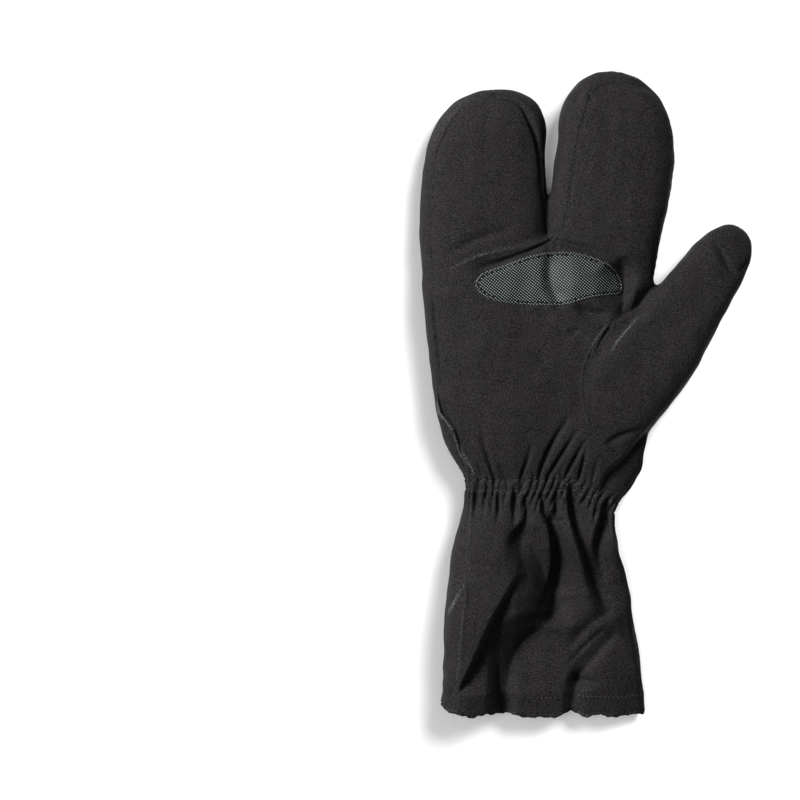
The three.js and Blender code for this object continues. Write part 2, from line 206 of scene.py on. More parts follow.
# One cut through a tube: a lying pillow, walked at even steps
def pillow(section, points, scale=1, shift=0, inset=0, roundness=None):
    middle = (section["left"] + section["right"]) / 2 + shift
    waist = waistOf(section)
    halfWidth = ((section["right"] - section["left"]) / 2 - inset) * scale
    rise = (section["top"] - waist - inset) * scale
    sink = (waist - section["floor"] - inset + shape["settle"]) * scale
    angle = np.linspace(0, 2 * math.pi, shape["ringSamples"])
    upper = angle <= math.pi
    power = 2 / np.where(upper, roundness or shape["upperRoundness"], shape["lowerRoundness"])
    x = middle + halfWidth * signedPower(np.cos(angle), power)
    z = waist + np.where(upper, rise, sink) * signedPower(np.sin(angle), power)
    z = np.maximum(z, inset)
    walked = walkedAlong(x, z)
    even = np.linspace(0, walked[-1], points, endpoint=False)
    return np.stack([np.interp(even, walked, x), np.interp(even, walked, z)], 1)


# A closed tube through the sections, with a rounded tip
def tube(rows, end):
    points = shape["ringPoints"]
    first, last = rows[0][0], rows[-1][0]
    rings = []
    for y in np.linspace(first, last, int((last - first) / shape["ringStep"]) + 1):
        rings.append((y, pillow(sectionsAt(rows, y), points, roundness=end["roundness"])))
    lastSection = sectionsAt(rows, last)
    for turn in np.linspace(0, shape["tipReach"], shape["tipSteps"] + 1)[1:] * math.pi / 2:
        scale = math.cos(turn) ** end["bluntness"]
        shift = end["shift"] * math.sin(turn)
        ring = pillow(lastSection, points, scale, shift, roundness=end["roundness"])
        rings.append((last + end["length"] * math.sin(turn), ring))
    vertices = [(x, y, z) for y, ring in rings for x, z in ring]
    faces = [tuple(range(points))]
    for r in range(len(rings) - 1):
        a, b = r * points, (r + 1) * points
        for i in range(points):
            j = (i + 1) % points
            faces.append((a + i, b + i, b + j, a + j))
    final = (len(rings) - 1) * points
    faces.append(tuple(final + i for i in reversed(range(points))))
    return np.array(vertices), faces


def turnThumb(vertices):
    c, s = math.cos(-thumbBase["angle"]), math.sin(-thumbBase["angle"])
    turned = vertices.copy()
    turned[:, 0] = thumbBase["x"] + c * vertices[:, 0] - s * vertices[:, 1]
    turned[:, 1] = thumbBase["y"] + s * vertices[:, 0] + c * vertices[:, 1]
    return turned


def selectOnly(piece):
    bpy.ops.object.select_all(action="DESELECT")
    piece.select_set(True)
    bpy.context.view_layer.objects.active = piece


# The four tubes run together into one skin of even fineness
def wholeSkin():
    vertices, faces = [], []
    for rows, end in (
        (sleeve, sleeveEnd), (outerLobe, outerLobeEnd), (innerLobe, innerLobeEnd), (thumb, thumbEnd),
    ):
        points, loops = tube(rows, end)
        if rows is thumb:
            points = turnThumb(points)
        offset = sum(len(v) for v in vertices)
        vertices.append(points)
        faces += [tuple(offset + i for i in loop) for loop in loops]
    mesh = bpy.data.meshes.new("skin")
    mesh.from_pydata((np.concatenate(vertices) * mm).tolist(), [], faces)
    skin = bpy.data.objects.new("skin", mesh)
    bpy.context.collection.objects.link(skin)
    selectOnly(skin)
    remesh = skin.modifiers.new("even", "REMESH")
    remesh.mode = "VOXEL"
    remesh.voxel_size = shape["voxel"] * mm
    bpy.ops.object.modifier_apply(modifier=remesh.name)
    mesh = skin.data
    mesh.calc_loop_triangles()
    at = np.empty(len(mesh.vertices) * 3)
    mesh.vertices.foreach_get("co", at)
    tri = np.empty(len(mesh.loop_triangles) * 3, int)
    mesh.loop_triangles.foreach_get("vertices", tri)
    bpy.data.objects.remove(skin)
    bpy.data.meshes.remove(mesh)
    return at.reshape(-1, 3) / mm, tri.reshape(-1, 3)


# Each undirected edge once, and the three edges of every triangle
def edgesOf(tri):
    size = int(tri.max()) + 1
    ends = np.sort(np.stack([tri[:, [0, 1]], tri[:, [1, 2]], tri[:, [2, 0]]], 1).reshape(-1, 2), 1)
    keys, place = np.unique(ends[:, 0].astype(np.int64) * size + ends[:, 1], return_inverse=True)
    return np.stack([keys // size, keys % size], 1), place.reshape(-1, 3)


# Evens out points, or values at points, with those of their neighbours
def relax(at, tri, rounds, share=0.5):
    edges, _ = edgesOf(tri)
    count = np.bincount(edges.ravel(), minlength=len(at))[:, None]
    for _ in range(rounds):
        total = np.stack([
            np.bincount(edges[:, 0], at[edges[:, 1], k], len(at))
            + np.bincount(edges[:, 1], at[edges[:, 0], k], len(at))
            for k in range(at.shape[1])
        ], 1)
        at = at + share * (total / count - at)
    return at


def normalsOf(at, tri):
    corner = at[tri]
    face = np.cross(corner[:, 1] - corner[:, 0], corner[:, 2] - corner[:, 0])
    total = np.stack([
        sum(np.bincount(tri[:, c], face[:, k], len(at)) for c in range(3)) for k in range(3)
    ], 1)
    return total / np.maximum(np.linalg.norm(total, axis=1, keepdims=True), 1e-9)


# Splits the marked edges, each at its own share, and the triangles beside them
def splitEdges(at, tri, edges, place, marked, share):
    new = np.full(len(edges), -1)
    new[marked] = len(at) + np.arange(marked.sum())
    a, b = edges[marked].T
    t = share[marked][:, None]
    at = np.concatenate([at, at[a] * (1 - t) + at[b] * t])
    cut = new[place]
    code = (cut >= 0) @ np.array([1, 2, 4])
    parts = [tri[code == 0]]
    for k in range(3):
        one = code == 1 << k
        a, b, c = (tri[one][:, (k + n) % 3] for n in range(3))
        p = cut[one][:, k]
        parts += [np.stack([a, p, c], 1), np.stack([p, b, c], 1)]
        two = code == 7 - (1 << k)
        c, a, b = (tri[two][:, (k + n) % 3] for n in range(3))
        p, q = cut[two][:, (k + 1) % 3], cut[two][:, (k + 2) % 3]
        parts += [np.stack([p, b, q], 1), np.stack([a, p, q], 1), np.stack([a, q, c], 1)]
    every = code == 7
    a, b, c = tri[every].T
    p, q, r = cut[every].T
    parts += [np.stack(x, 1) for x in ((a, p, r), (p, b, q), (r, q, c), (p, q, r))]
    return at, np.concatenate(parts)


def compact(at, tri):
    used, place = np.unique(tri, return_inverse=True)
    return at[used], place.reshape(-1, 3)


# Cuts a skin along the zero line of a field and gives both sides. The second round catches the places
# where the field bends between the two ends of an edge
def cutAlong(skin, field):
    at, tri = skin
    for _ in range(2):
        height = field(at)
        height = np.where(np.abs(height) < shape["snap"], 0, height)
        edges, place = edgesOf(tri)
        low, high = height[edges[:, 0]], height[edges[:, 1]]
        marked = low * high < 0
        share = np.zeros(len(edges))
        share[marked] = low[marked] / (low[marked] - high[marked])
        at, tri = splitEdges(at, tri, edges, place, marked, share)
    middle = field(at)[tri].mean(axis=1)
    return keepLargest(*compact(at, tri[middle < 0])), keepLargest(*compact(at, tri[middle > 0]))


# Crumbs left by a cut are dropped
def keepLargest(at, tri):
    edges, _ = edgesOf(tri)
    label = np.arange(len(at))
    while True:
        lowest = label.copy()
        np.minimum.at(lowest, edges[:, 0], label[edges[:, 1]])
        np.minimum.at(lowest, edges[:, 1], label[edges[:, 0]])
        lowest = lowest[lowest]
        if (lowest == label).all():
            break
        label = lowest
    names, sizes = np.unique(label[tri[:, 0]], return_counts=True)
    return compact(at, tri[label[tri[:, 0]] == names[sizes.argmax()]])


# Lines on the mitt

elastic = {"y": -50.0, "drop": 12.5, "dropFrom": -8, "dropTo": 16, "width": 6.0, "thickness": 1.0}
hem = {"from": -172.7, "to": -162.6, "edge": -171.9, "wall": 0.8, "inside": 0.95}
seam = {"sideHeight": 12.0, "fourchetteHeight": 5.0}
hemEdge = [
    # x, how far the edge of the cuff is drawn up there
    (-90, 8), (-78, 7), (-75.5, 3.6), (-70, 1.2), (-61, 0), (-43, 1.1), (-34, -0.5), (-21, -1.4), (-13, 0),
    (-6, 0.6), (0, -0.5), (16, -1.4), (31, 0.2), (36, 1.5),
]

palmSeam = [
    (-68.5, -190), (-69, -163), (-67.4, -142.6), (-66.2, -115.3), (-64.1, -87.8), (-61.9, -58),
    (-62.5, -44), (-66.5, -34), (-71, -20), (-76.5, -11), (-79.7, 8), (-82.9, 49), (-84.6, 76.5),
    (-84, 103.4), (-82.4, 123.9), (-79.2, 134.6), (-72.7, 147), (-64.6, 156.0), (-54.9, 159.2),
    (-45.8, 159.6), (-36.1, 157), (-29.1, 147), (-24.8, 123.9), (-22.4, 98), (-21.6, 86.5), (-19.6, 82),
    (-16.8, 83.5), (-13.4, 88), (-11.2, 95), (-10.1, 102.9), (-7.4, 124.9), (-5.3, 135.6), (-2.2, 147),
    (0.8, 158), (6, 164.8), (11.3, 167.4), (17.8, 167.2), (27.4, 164), (36, 156), (42.5, 146),
    (45.8, 132), (46.1, 119.4), (43.4, 103.2), (38, 75), (35, 56), (33.6, 26), (32.6, -8), (30, -30),
    (27, -42), (21, -50), (16, -56), (13.6, -62), (14.5, -78), (17.5, -99), (21.5, -124), (25.6, -151),
    (28, -170), (28, -190),
]
thumbOval = {
    "x": 28.6, "y": 3.4, "halfWidth": 31.9, "halfLength": 38.9, "waist": 13.0,
    "corners": 60, "sewnSteps": 50,
}
thumbSeamEnds = (math.radians(117), math.radians(246))  # the sewn part of the oval, counted from +X
thumbCrotch = [(14, 40.5), (38, 40), (38, 60), (34.5, 56.5)]
pastTheHand = [(37, -34), (120, -34), (120, 110), (66, 110), (38.5, 60.5), (37, 56)]
fourchetteOutline = [(-26, 79), (-13, 79), (18, 176), (2, 220), (-40, 220), (-50, 166)]


# Two points for each pair of neighbours, a quarter of the way in from either
def cornersCut(a, b):
    return np.stack([a * 0.75 + b * 0.25, a * 0.25 + b * 0.75], 1).reshape(-1, a.shape[1])


def rounded(outline):
    points = np.array(outline, float)
    for _ in range(2):
        points = cornersCut(points, np.roll(points, -1, axis=0))
    return points


palmOutline = rounded(palmSeam)


# Distance to a closed outline seen from above, negative inside it
def outlineDistance(at, outline):
    outline = np.array(outline, float)
    nearest = np.full(len(at), farAway)
    inside = np.zeros(len(at), bool)
    x, y = at[:, 0], at[:, 1]
    for (ax, ay), (bx, by) in zip(outline, np.roll(outline, -1, axis=0)):
        dx, dy = bx - ax, by - ay
        t = np.clip(((x - ax) * dx + (y - ay) * dy) / (dx * dx + dy * dy), 0, 1)
        nearest = np.minimum(nearest, (x - ax - t * dx) ** 2 + (y - ay - t * dy) ** 2)
        if dy != 0:
            crossing = ((ay > y) != (by > y)) & (x < ax + (y - ay) * dx / dy)
            inside ^= crossing
    return np.where(inside, -1, 1) * np.sqrt(nearest)


# The fields that the skin is cut along: each is zero on its seam

def elasticLine(x):
    return elastic["y"] - elastic["drop"] * smoothstep(x, elastic["dropFrom"], elastic["dropTo"])


def wristField(at):
    return at[:, 1] - elasticLine(at[:, 0])


def hemField(at):
    return at[:, 1] - hem["edge"]


def palmField(at):
    return np.maximum(outlineDistance(at, palmOutline), seam["sideHeight"] - at[:, 2])


def onTheOval(turn):
    return np.stack([
        thumbOval["x"] + thumbOval["halfWidth"] * np.cos(turn),
        thumbOval["y"] + thumbOval["halfLength"] * np.sin(turn),
    ], 1)


def thumbField(at):
    oval = onTheOval(np.linspace(0, 2 * math.pi, thumbOval["corners"], endpoint=False))
    setIn = np.minimum(outlineDistance(at, oval), outlineDistance(at, thumbCrotch))
    setIn = np.maximum(setIn, thumbOval["waist"] - at[:, 2])
    return np.minimum(setIn, outlineDistance(at, pastTheHand))


def fourchetteField(at):
    return np.maximum(outlineDistance(at, fourchetteOutline), seam["fourchetteHeight"] - at[:, 2])


# Share of the way round the sleeve's ring, from the thumb side over the palm, and the ring's length
def roundTheRing(at):
    section = sectionsAt(sleeve, np.clip(at[:, 1], sleeve[0][0], sleeve[-1][0]))
    halfWidth = (section["right"] - section["left"]) / 2
    waist = waistOf(section)
    across = np.clip((at[:, 0] - section["left"] - halfWidth) / halfWidth, -1, 1)
    upper = at[:, 2] >= waist
    reach = np.where(upper, section["top"] - waist, waist - section["floor"] + shape["settle"])
    up = np.clip(np.abs(at[:, 2] - waist) / reach, 0, 1)
    roundness = np.where(upper, shape["upperRoundness"], shape["lowerRoundness"])
    angle = np.arctan2(up ** (roundness / 2), signedPower(across, roundness / 2))
    angle = np.where(upper, angle, 2 * math.pi - angle)
    turn = np.linspace(0, 2 * math.pi, shape["ringSamples"])
    power = 2 / np.where(turn <= math.pi, shape["upperRoundness"], shape["lowerRoundness"])
    walked = walkedAlong(
        usualRing["halfWidth"] * signedPower(np.cos(turn), power),
        usualRing["halfHeight"] * signedPower(np.sin(turn), power),
    )
    share = np.interp(angle, turn, walked / walked[-1])
    return share, 4 * halfWidth * usualRing["longer"]


# Folds pressed into the palm side. Each runs through stations: x, y, depth (a ridge is negative), and
# how far its slope reaches to its own left and to its right as it runs
folds = {
    "centre pleat": [
        (-20.4, -62.1, 0, 8, 1.5), (-18.8, -68.5, 5.5, 9, 2.8), (-16.7, -77.1, 8.5, 12, 3.6),
        (-15.6, -85.1, 9.5, 12, 3.8), (-15.3, -92.1, 9.5, 13, 4), (-15.6, -99.6, 9, 14, 5),
        (-16.1, -106, 8, 16, 7), (-16.7, -111.9, 7, 18, 9), (-18.3, -117.3, 4, 18, 10),
        (-21, -124.2, 0, 18, 10),
    ],
    "centre slope": [
        (-22, -82.5, 0, 40, 10), (-18.8, -90, 3, 42, 18), (-16.7, -98, 5.5, 46, 23),
        (-16.1, -105.5, 8, 50, 24), (-16.1, -112.4, 9, 50, 23), (-17.7, -118.9, 8, 50, 22),
        (-20.4, -125.3, 0, 30, 20),
    ],
    "west slope": [
        (-36.5, -68.5, 0, 14, 5), (-32.2, -75, 4, 22, 9), (-27.9, -82.5, 8.5, 30, 15),
        (-23.6, -92.6, 10, 36, 19), (-21.5, -102.3, 9.5, 38, 20), (-22, -110.3, 6, 34, 18),
        (-25.2, -117.3, 0, 26, 16),
    ],
    "hem hollow": [
        (-10.2, -108.7, 0, 14, 16), (-13.2, -113.5, 4, 26, 17), (-15.6, -117.3, 7, 40, 18),
        (-19.9, -122.1, 9.8, 70, 18.5), (-26.3, -127.4, 12, 100, 18), (-34.9, -134.9, 12.6, 120, 15),
        (-39.7, -143.5, 12.2, 120, 13), (-41.8, -153.1, 11.8, 120, 12), (-42.4, -163.8, 11.4, 120, 12),
        (-42.4, -178.8, 11.4, 120, 12),
    ],
    "flap by the hollow": [
        (-47.7, -129.6, 0, 10, 6), (-47.7, -140.3, 3, 10, 12), (-46.6, -149.9, 5.5, 10, 18),
        (-46.1, -158.5, 6.5, 10, 21), (-46.1, -178.8, 6.5, 10, 22),
    ],
    "long slant": [
        (-35.4, -96.4, 0, 4, 2.4), (-39.7, -103.3, 4.5, 9, 2.6), (-43.4, -110.3, 6.5, 18, 2.8),
        (-48.8, -120.5, 8, 40, 3.1), (-54.1, -132.2, 8.5, 80, 3.2), (-58.7, -142.4, 8, 90, 3),
        (-63.8, -152.6, 6, 90, 2.6), (-68.1, -161.1, 0, 90, 2),
    ],
    "second pleat": [
        (-8.9, -43.9, 0, 3, 2), (-8.4, -54.1, 4.5, 5, 2.6), (-7.3, -64.8, 7, 10, 3),
        (-3.8, -77.1, 8, 16, 3.2), (1, -91, 9.5, 24, 4), (5, -103.3, 10, 28, 5.4),
        (8, -110.8, 8.5, 22, 6), (10.6, -116.2, 5, 16, 6), (13.3, -121.5, 0, 12, 4),
    ],
    "second pleat ridge": [
        (-11.3, -66.4, 0, 4, 4), (-8.6, -79.8, -1, 4.5, 5), (-5.4, -95.8, -1.2, 5, 6),
        (-0.6, -109.2, -0.6, 5, 5), (4.2, -117.8, 0, 5, 5),
    ],
    "ridge to the hem": [
        (11.2, -111.9, 0, 4, 4), (14.4, -120.5, -0.7, 4, 4), (18.7, -131.7, -0.8, 4, 4),
        (24, -146.7, -0.7, 4, 4), (28.8, -160.6, 0, 4, 4),
    ],
    "right pleat": [
        (10.6, -55.2, 0, 3, 2.4), (10.4, -61.6, 4.8, 4, 3), (9.3, -68.5, 6.5, 6, 3.6),
        (8, -75.5, 6.5, 7, 4.2), (6.6, -81.9, 5.5, 8, 4.6), (6.9, -88.9, 4.4, 9, 4.4),
        (8.5, -95.3, 2.8, 9, 4), (10.6, -101.7, 0, 6, 4),
    ],
    "upper crease": [
        (13.8, -116.7, 0, 3, 3), (9, -119.4, 2.2, 4, 4.5), (3.7, -122.1, 2.8, 4, 5.5),
        (-2.2, -127.4, 2.8, 5, 5.5), (-7, -133.3, 1.8, 5, 5), (-10.2, -139.2, 0, 4, 4),
    ],
    "fine crease": [
        (10.1, -126.4, 0, 1.4, 2.4), (5.3, -130.1, 1.6, 1.6, 2.8), (-1.1, -136, 2, 1.6, 2.8),
        (-7.6, -142.9, 1.2, 1.6, 2.4), (-12.4, -147.8, 0, 1.4, 2),
    ],
    "broad crease": [
        (17.1, -127.4, 0, 2.4, 4), (13.3, -131.7, 2.4, 3, 6), (8, -137.1, 3.2, 3.4, 8),
        (2.6, -142.9, 3.6, 4, 9), (-1.7, -148.3, 3.8, 5, 9), (-4.9, -154.2, 3.6, 7, 7),
    ],
    "valley to the hem": [
        (-2.2, -146.7, 0, 8, 4), (-4.4, -153.1, 3.6, 9, 6), (-6, -158.5, 5, 9, 7),
        (-7.6, -166, 4.5, 9, 6), (-8.1, -175.6, 4, 9, 5),
    ],
    "small wrinkle": [
        (-7, -153.1, 0, 2, 2), (-2.2, -154.2, 3, 2, 4), (2.6, -154.7, 3, 2, 4), (6.3, -156.9, 0, 2, 3),
    ],
    "wrist notch": [
        (-22, -67.5, 0, 1.4, 1.6), (-16.6, -67.3, 1.4, 1.6, 2.2), (-10.7, -67.8, 0, 1.4, 1.6),
    ],
    "slope of the cuff": [
        (-31.6, -71.8, 0, 6, 8), (-35.9, -78.2, 3, 10, 12), (-35.4, -86.8, 3.4, 14, 14),
        (-32.7, -96.4, 2.6, 14, 16), (-29.5, -106.1, 0, 12, 14),
    ],
    "cuff side crease": [
        (-64.8, -97.5, 0, 1.4, 2), (-69.1, -106.1, -1.2, 1.4, 2.2), (-73.9, -114.1, 0, 1.4, 2),
    ],
    "cuff side crease again": [
        (-65.4, -98.1, 0, 1.2, 1.4), (-64.5, -107.2, -0.8, 1.2, 1.6), (-65.4, -116.8, 0, 1.2, 1.4),
    ],
    "below one": [
        (-59.5, -48.2, 0, 1.3, 1.4), (-59.5, -53.6, 1.8, 1.3, 1.5), (-60, -61, 1.2, 1.5, 1.6),
        (-60.6, -67.5, 0, 1.5, 1.6),
    ],
    "below two": [(-53.1, -49.3, 0, 1.2, 1.4), (-52.5, -55.7, 1.6, 1.3, 1.5), (-50.9, -61, 0, 1.3, 1.5)],
    "below two again": [
        (-48.2, -51.4, 0, 1.3, 1.5), (-47.2, -58.4, 2.2, 1.4, 1.6), (-47.2, -64.3, 1.8, 1.6, 1.8),
        (-48.2, -69.6, 0, 1.6, 1.8),
    ],
    "below three": [
        (-39.2, -48.2, 0, 1.5, 1.6), (-38.6, -53.6, 2.6, 1.8, 2), (-38.6, -61, 3, 2.2, 2.2),
        (-38.6, -66.4, 2, 2.4, 2.2), (-39.7, -71.8, 0, 2, 2.2),
    ],
    "below four": [
        (-34.1, -53.6, 0, 1.6, 1.6), (-32.2, -59.7, 2.6, 2.4, 2.2), (-31.9, -65.9, 3.2, 3, 2.6),
        (-33.5, -71.2, 3.2, 5, 3.6), (-37.3, -76.8, 2.6, 8, 5), (-41.3, -83, 0, 8, 5),
    ],
    "below five": [
        (-24.7, -51.4, 0, 2, 1.6), (-23.6, -57.8, 3, 2.6, 2), (-22.6, -64.3, 3.6, 3.4, 2.2),
        (-19.9, -69.6, 3.4, 6, 2.2), (-18.8, -75, 0, 6, 2),
    ],
    "below six": [
        (-16.6, -50.4, 0, 2, 1.6), (-16.3, -56.8, 3, 3, 2), (-16.6, -63.2, 2.6, 3.4, 2.2),
        (-16.6, -67.5, 0, 2, 2),
    ],
    "below seven": [(1.1, -52, 0, 1.6, 1.4), (-1.6, -56.8, 2, 2, 1.8), (-4.8, -61.6, 0, 2, 1.6)],
    "below eight": [(8, -58.4, 0, 1.6, 1.4), (5.9, -62.7, 2, 2, 1.8), (3.8, -67, 0, 2, 1.6)],
    "above zero": [(-59, -36.4, 0, 1.3, 1.5), (-56.3, -42.8, 1.6, 1.3, 1.5), (-55.2, -48.2, 0, 1.3, 1.5)],
    "above one": [
        (-57.3, -18.2, 0, 3, 2.4), (-55.5, -26.3, 1.8, 2.6, 2.2), (-52.5, -35.4, 2.4, 2, 2),
        (-49.6, -45, 2, 1.8, 1.8), (-48.8, -49.3, 0, 1.6, 1.6),
    ],
    "above two": [(-48.8, -34.3, 0, 1.5, 1.6), (-45, -41.8, 1.4, 1.5, 1.6), (-41.8, -49.3, 0, 1.4, 1.5)],
    "above three": [
        (-29, -24.7, 0, 1.6, 2), (-32.2, -36.4, 2.2, 1.6, 2), (-34.9, -43.9, 1.8, 1.5, 1.7),
        (-35.9, -49.3, 0, 1.5, 1.6),
    ],
    "above four": [
        (-7.6, -9.1, 0, 2, 2.4), (-15.6, -21.4, 2, 2.2, 2.4), (-21, -31.1, 3.2, 1.8, 2.2),
        (-24.7, -40.7, 2.6, 1.5, 1.8), (-26.8, -48.7, 0, 1.4, 1.6),
    ],
    "above five": [
        (-4.4, -18.2, 0, 1.6, 2), (-10.8, -28.4, 2.2, 1.6, 2), (-16.1, -36.4, 2.8, 1.6, 1.9),
        (-19.9, -42.8, 2.2, 1.4, 1.7), (-22, -48.7, 0, 1.4, 1.6),
    ],
    "above six": [
        (-0.1, -23, 0, 1.6, 2), (-5.4, -32.7, 2.2, 1.5, 1.9), (-9.2, -39.6, 2.6, 1.4, 1.8),
        (-12.9, -48.2, 0, 1.4, 1.6),
    ],
    "above seven": [
        (-0.1, -25.7, 0, 1.4, 1.6), (-1.7, -35.4, 2.2, 1.3, 1.8), (-3.3, -41.8, 2.2, 1.3, 1.6),
        (-4.4, -48.7, 0, 1.3, 1.5),
    ],
    "above eight": [(5.8, -33.2, 0, 1.4, 1.6), (4.2, -40.7, 1.6, 1.3, 1.6), (2.6, -49.3, 0, 1.3, 1.5)],
    "left seam groove": [
        (-79.5, 3.2, 0, 0.9, 1), (-78.2, -8.1, 2.4, 1.1, 1.4), (-75, -13.1, 2.8, 1.1, 1.4),
        (-70.7, -18.8, 2.8, 1.1, 1.4), (-68.6, -24.7, 2.1, 1, 1.2), (-67.3, -31.1, 1.4, 0.9, 1.1),
        (-64.8, -35.9, 0, 0.8, 0.9),
    ],
    "left seam edge": [
        (-80.8, 5.4, 0, 0.7, 0.7), (-79.8, -8.6, -1.2, 0.7, 0.7), (-76.5, -13.4, -1.4, 0.8, 0.7),
        (-72.3, -18.5, -1.5, 0.8, 0.8), (-70.1, -24.7, -1.4, 0.8, 0.8), (-68, -31.2, -1.2, 0.8, 0.8),
        (-64.7, -36.5, -0.8, 0.8, 0.8), (-61.5, -40.8, 0, 0.8, 0.8),
    ],
    "heel fold": [
        (5.8, -54.6, 0, 2, 20), (9, -49.8, 2.6, 2.2, 40), (10.9, -43.4, 4.4, 2.4, 60),
        (14.4, -39.9, 4.6, 2.6, 60), (19.2, -36.4, 4.4, 2.6, 60), (24, -30.8, 4, 2.4, 60),
        (28.3, -25.7, 3, 2.2, 60), (32.6, -21.2, 0, 2, 40),
    ],
    "under the thumb": [
        (9.6, -27.9, 0, 2, 3), (13.3, -24.4, 1.6, 2.4, 4), (19.7, -21.4, 2, 2.4, 4),
        (26.2, -19.8, 1.4, 2.4, 4), (33.6, -17.7, 0, 2, 3),
    ],
    "under the thumb again": [(22.9, -31.1, 0, 2, 2), (29.9, -24.7, 3, 2, 3), (36.9, -17.2, 0, 2, 2)],
    "crotch to the side": [
        (-18.4, 83.3, 1, 1.6, 1.2), (-22.1, 80.4, 2.4, 1.8, 1.2), (-28.6, 77.7, 2.2, 2.4, 1.2),
        (-35, 75.3, 2, 3.4, 1.3), (-42.5, 72.4, 2.2, 5, 1.8), (-49.9, 69.4, 2.6, 6, 3),
        (-56.9, 67.3, 2, 6, 4), (-62.8, 65.2, 0, 5, 4),
    ],
    "crotch to the side ridge": [
        (-21.1, 81.7, 0, 1.6, 1.4), (-30.7, 79.1, -0.8, 1.4, 1.6), (-44.1, 76.9, -0.8, 1.6, 1.8),
        (-58.5, 73.5, -0.7, 1.6, 2), (-73.4, 66.8, 0, 1.6, 2),
    ],
    "crotch to the thumb": [
        (-17.5, 82, 1, 2, 2), (-9, 79.6, 2.2, 3, 2.4), (3, 76.6, 1.8, 3, 3), (15, 70, 0, 3, 3),
    ],
    "crotch star": [(-18.4, 83.5, 0, 1.2, 1.2), (-17, 80, 1.6, 1.3, 1.3), (-15, 75.6, 0, 1.2, 1.2)],
    "crotch star again": [
        (-18.8, 83.5, 0, 1.2, 1.2), (-20, 79.4, 1.4, 1.3, 1.3), (-21.6, 75.6, 0, 1.2, 1.2),
    ],
    "outer lobe root": [
        (-76.7, 73.2, 0, 3, 3), (-69.2, 77.7, 1, 4, 3), (-59.6, 82.5, 1.2, 4, 3.4),
        (-46.7, 87.1, 1, 4, 3.4), (-35, 90.3, 0, 3, 3),
    ],
    "patch end": [
        (18.5, 73.2, 0, 6, 12), (20.6, 66.8, 2.4, 8, 23), (21.1, 58.2, 2.4, 8, 23),
        (18.5, 50.7, 0, 6, 12),
    ],
    "beside the patch": [
        (17.4, 73.7, 0, 6, 8), (19, 66.2, 4, 7, 16), (20.1, 56.6, 5.6, 6, 17), (19.5, 49.1, 4.8, 5, 15),
        (17.4, 40.6, 0, 4, 8),
    ],
    "thumb crotch": [
        (12.7, 38.5, 0, 4, 2), (17.5, 41.4, 2, 5, 2), (22.3, 43.6, 3.6, 7, 2.2),
        (26.1, 45.4, 4.6, 8, 2.6), (29.3, 49.2, 4.8, 9, 3), (31.9, 52.9, 3.4, 8, 3),
        (35.1, 57.7, 0, 6, 3),
    ],
    "shadow by the crotch": [
        (-7.2, 47, 0, 4, 4), (-0.2, 44.3, 2, 4, 5), (6.2, 42.7, 2.6, 3, 5), (11.5, 42.2, 0, 3, 4),
    ],
    "dimple": [(-8.5, 48, 0, 2.4, 3), (-2, 44.6, 2, 2.4, 3.6), (4.5, 40, 0, 2.4, 3)],
    "small dimple": [(-11.5, 33.1, 0, 2.4, 2.6), (-7.4, 33.6, 2, 2.6, 3.4), (-4, 33.1, 0, 2.4, 2.6)],
    "bar at the thumb seam": [
        (1.3, 19.2, 0, 1.4, 1.6), (5, 26.7, -1.1, 1.4, 1.6), (9.3, 34.1, -1.1, 1.4, 1.6),
        (13.6, 41.1, 0, 1.4, 1.6),
    ],
    "beside the bar": [
        (3.2, 21.9, 0, 1.4, 1.2), (6.6, 28.3, 0.9, 1.8, 1.6), (10.9, 34.7, 1.1, 1.8, 1.6),
        (14.6, 41.1, 0, 1.6, 1.2),
    ],
    "thumb wrinkle": [(10.8, 24.4, 0, 1.2, 1.2), (14.6, 28.3, 0.6, 1.2, 1.2), (18.4, 32.2, 0, 1.2, 1.2)],
    "under the patch": [
        (-19.3, 79, 0, 10, 3), (-20.1, 71.5, 2.8, 12, 4), (-20.6, 63.5, 3.4, 12, 4.4),
        (-19.3, 57.1, 3.4, 12, 4.4), (-16.9, 51.2, 2.8, 10, 4), (-15.3, 43.8, 0, 8, 3),
    ],
    "inner lobe wrinkle": [(-2, 127.7, 0, 1, 1), (0.6, 129.6, 0.7, 1, 1), (3.4, 131.6, 0, 1, 1)],
    "inner lobe tip dent": [
        (-1.2, 165.1, 0, 2, 3), (-3.4, 161.3, 1.6, 2, 4), (-5.5, 157, 1.8, 2.4, 4.4),
        (-7.7, 151.6, 0, 2, 3),
    ],
    "inner lobe tip seam": [
        (9.2, 171.3, 0, 2.4, 2), (14, 168.8, 1, 3, 2.4), (21.6, 166.4, 1.2, 3, 3),
        (30.2, 165.9, 1.2, 3, 3), (36.1, 162.1, 0.7, 2.4, 2.4), (39.9, 157.3, 0, 2, 2),
    ],
    "inner lobe pucker": [
        (0.2, 162.2, 0, 1.2, 1.2), (1.9, 159.2, 1.6, 1.2, 1.4), (3.6, 156, 0, 1.2, 1.2),
    ],
    "outer lobe edge fold": [
        (-54.1, 161.3, 0, 1.6, 1.2), (-48.7, 159.7, 1.3, 2, 1.3), (-43.9, 157.7, 1.6, 2.2, 1.4),
        (-38, 156.2, 1.8, 2.4, 1.4), (-34.2, 152.8, 2.2, 2.8, 1.5), (-31, 145.8, 2.4, 3, 1.6),
        (-27.5, 137.8, 2.4, 3, 1.6), (-25.7, 130.8, 2, 2.6, 1.6), (-24.8, 120.1, 1.4, 2.4, 1.6),
        (-24.8, 108.3, 0, 2, 1.6),
    ],
    "outer lobe tip crease": [
        (-54, 162, 0, 1.4, 1.8), (-45.3, 160.4, 1.4, 1.4, 1.8), (-36, 157.8, 0, 1.4, 1.8),
    ],
    "thumb dart": [
        (67.6, 82.8, 0, 1.4, 3.4), (69.2, 80.4, 0.9, 1.4, 3.6), (72.1, 76.1, 1.6, 1.4, 3.6),
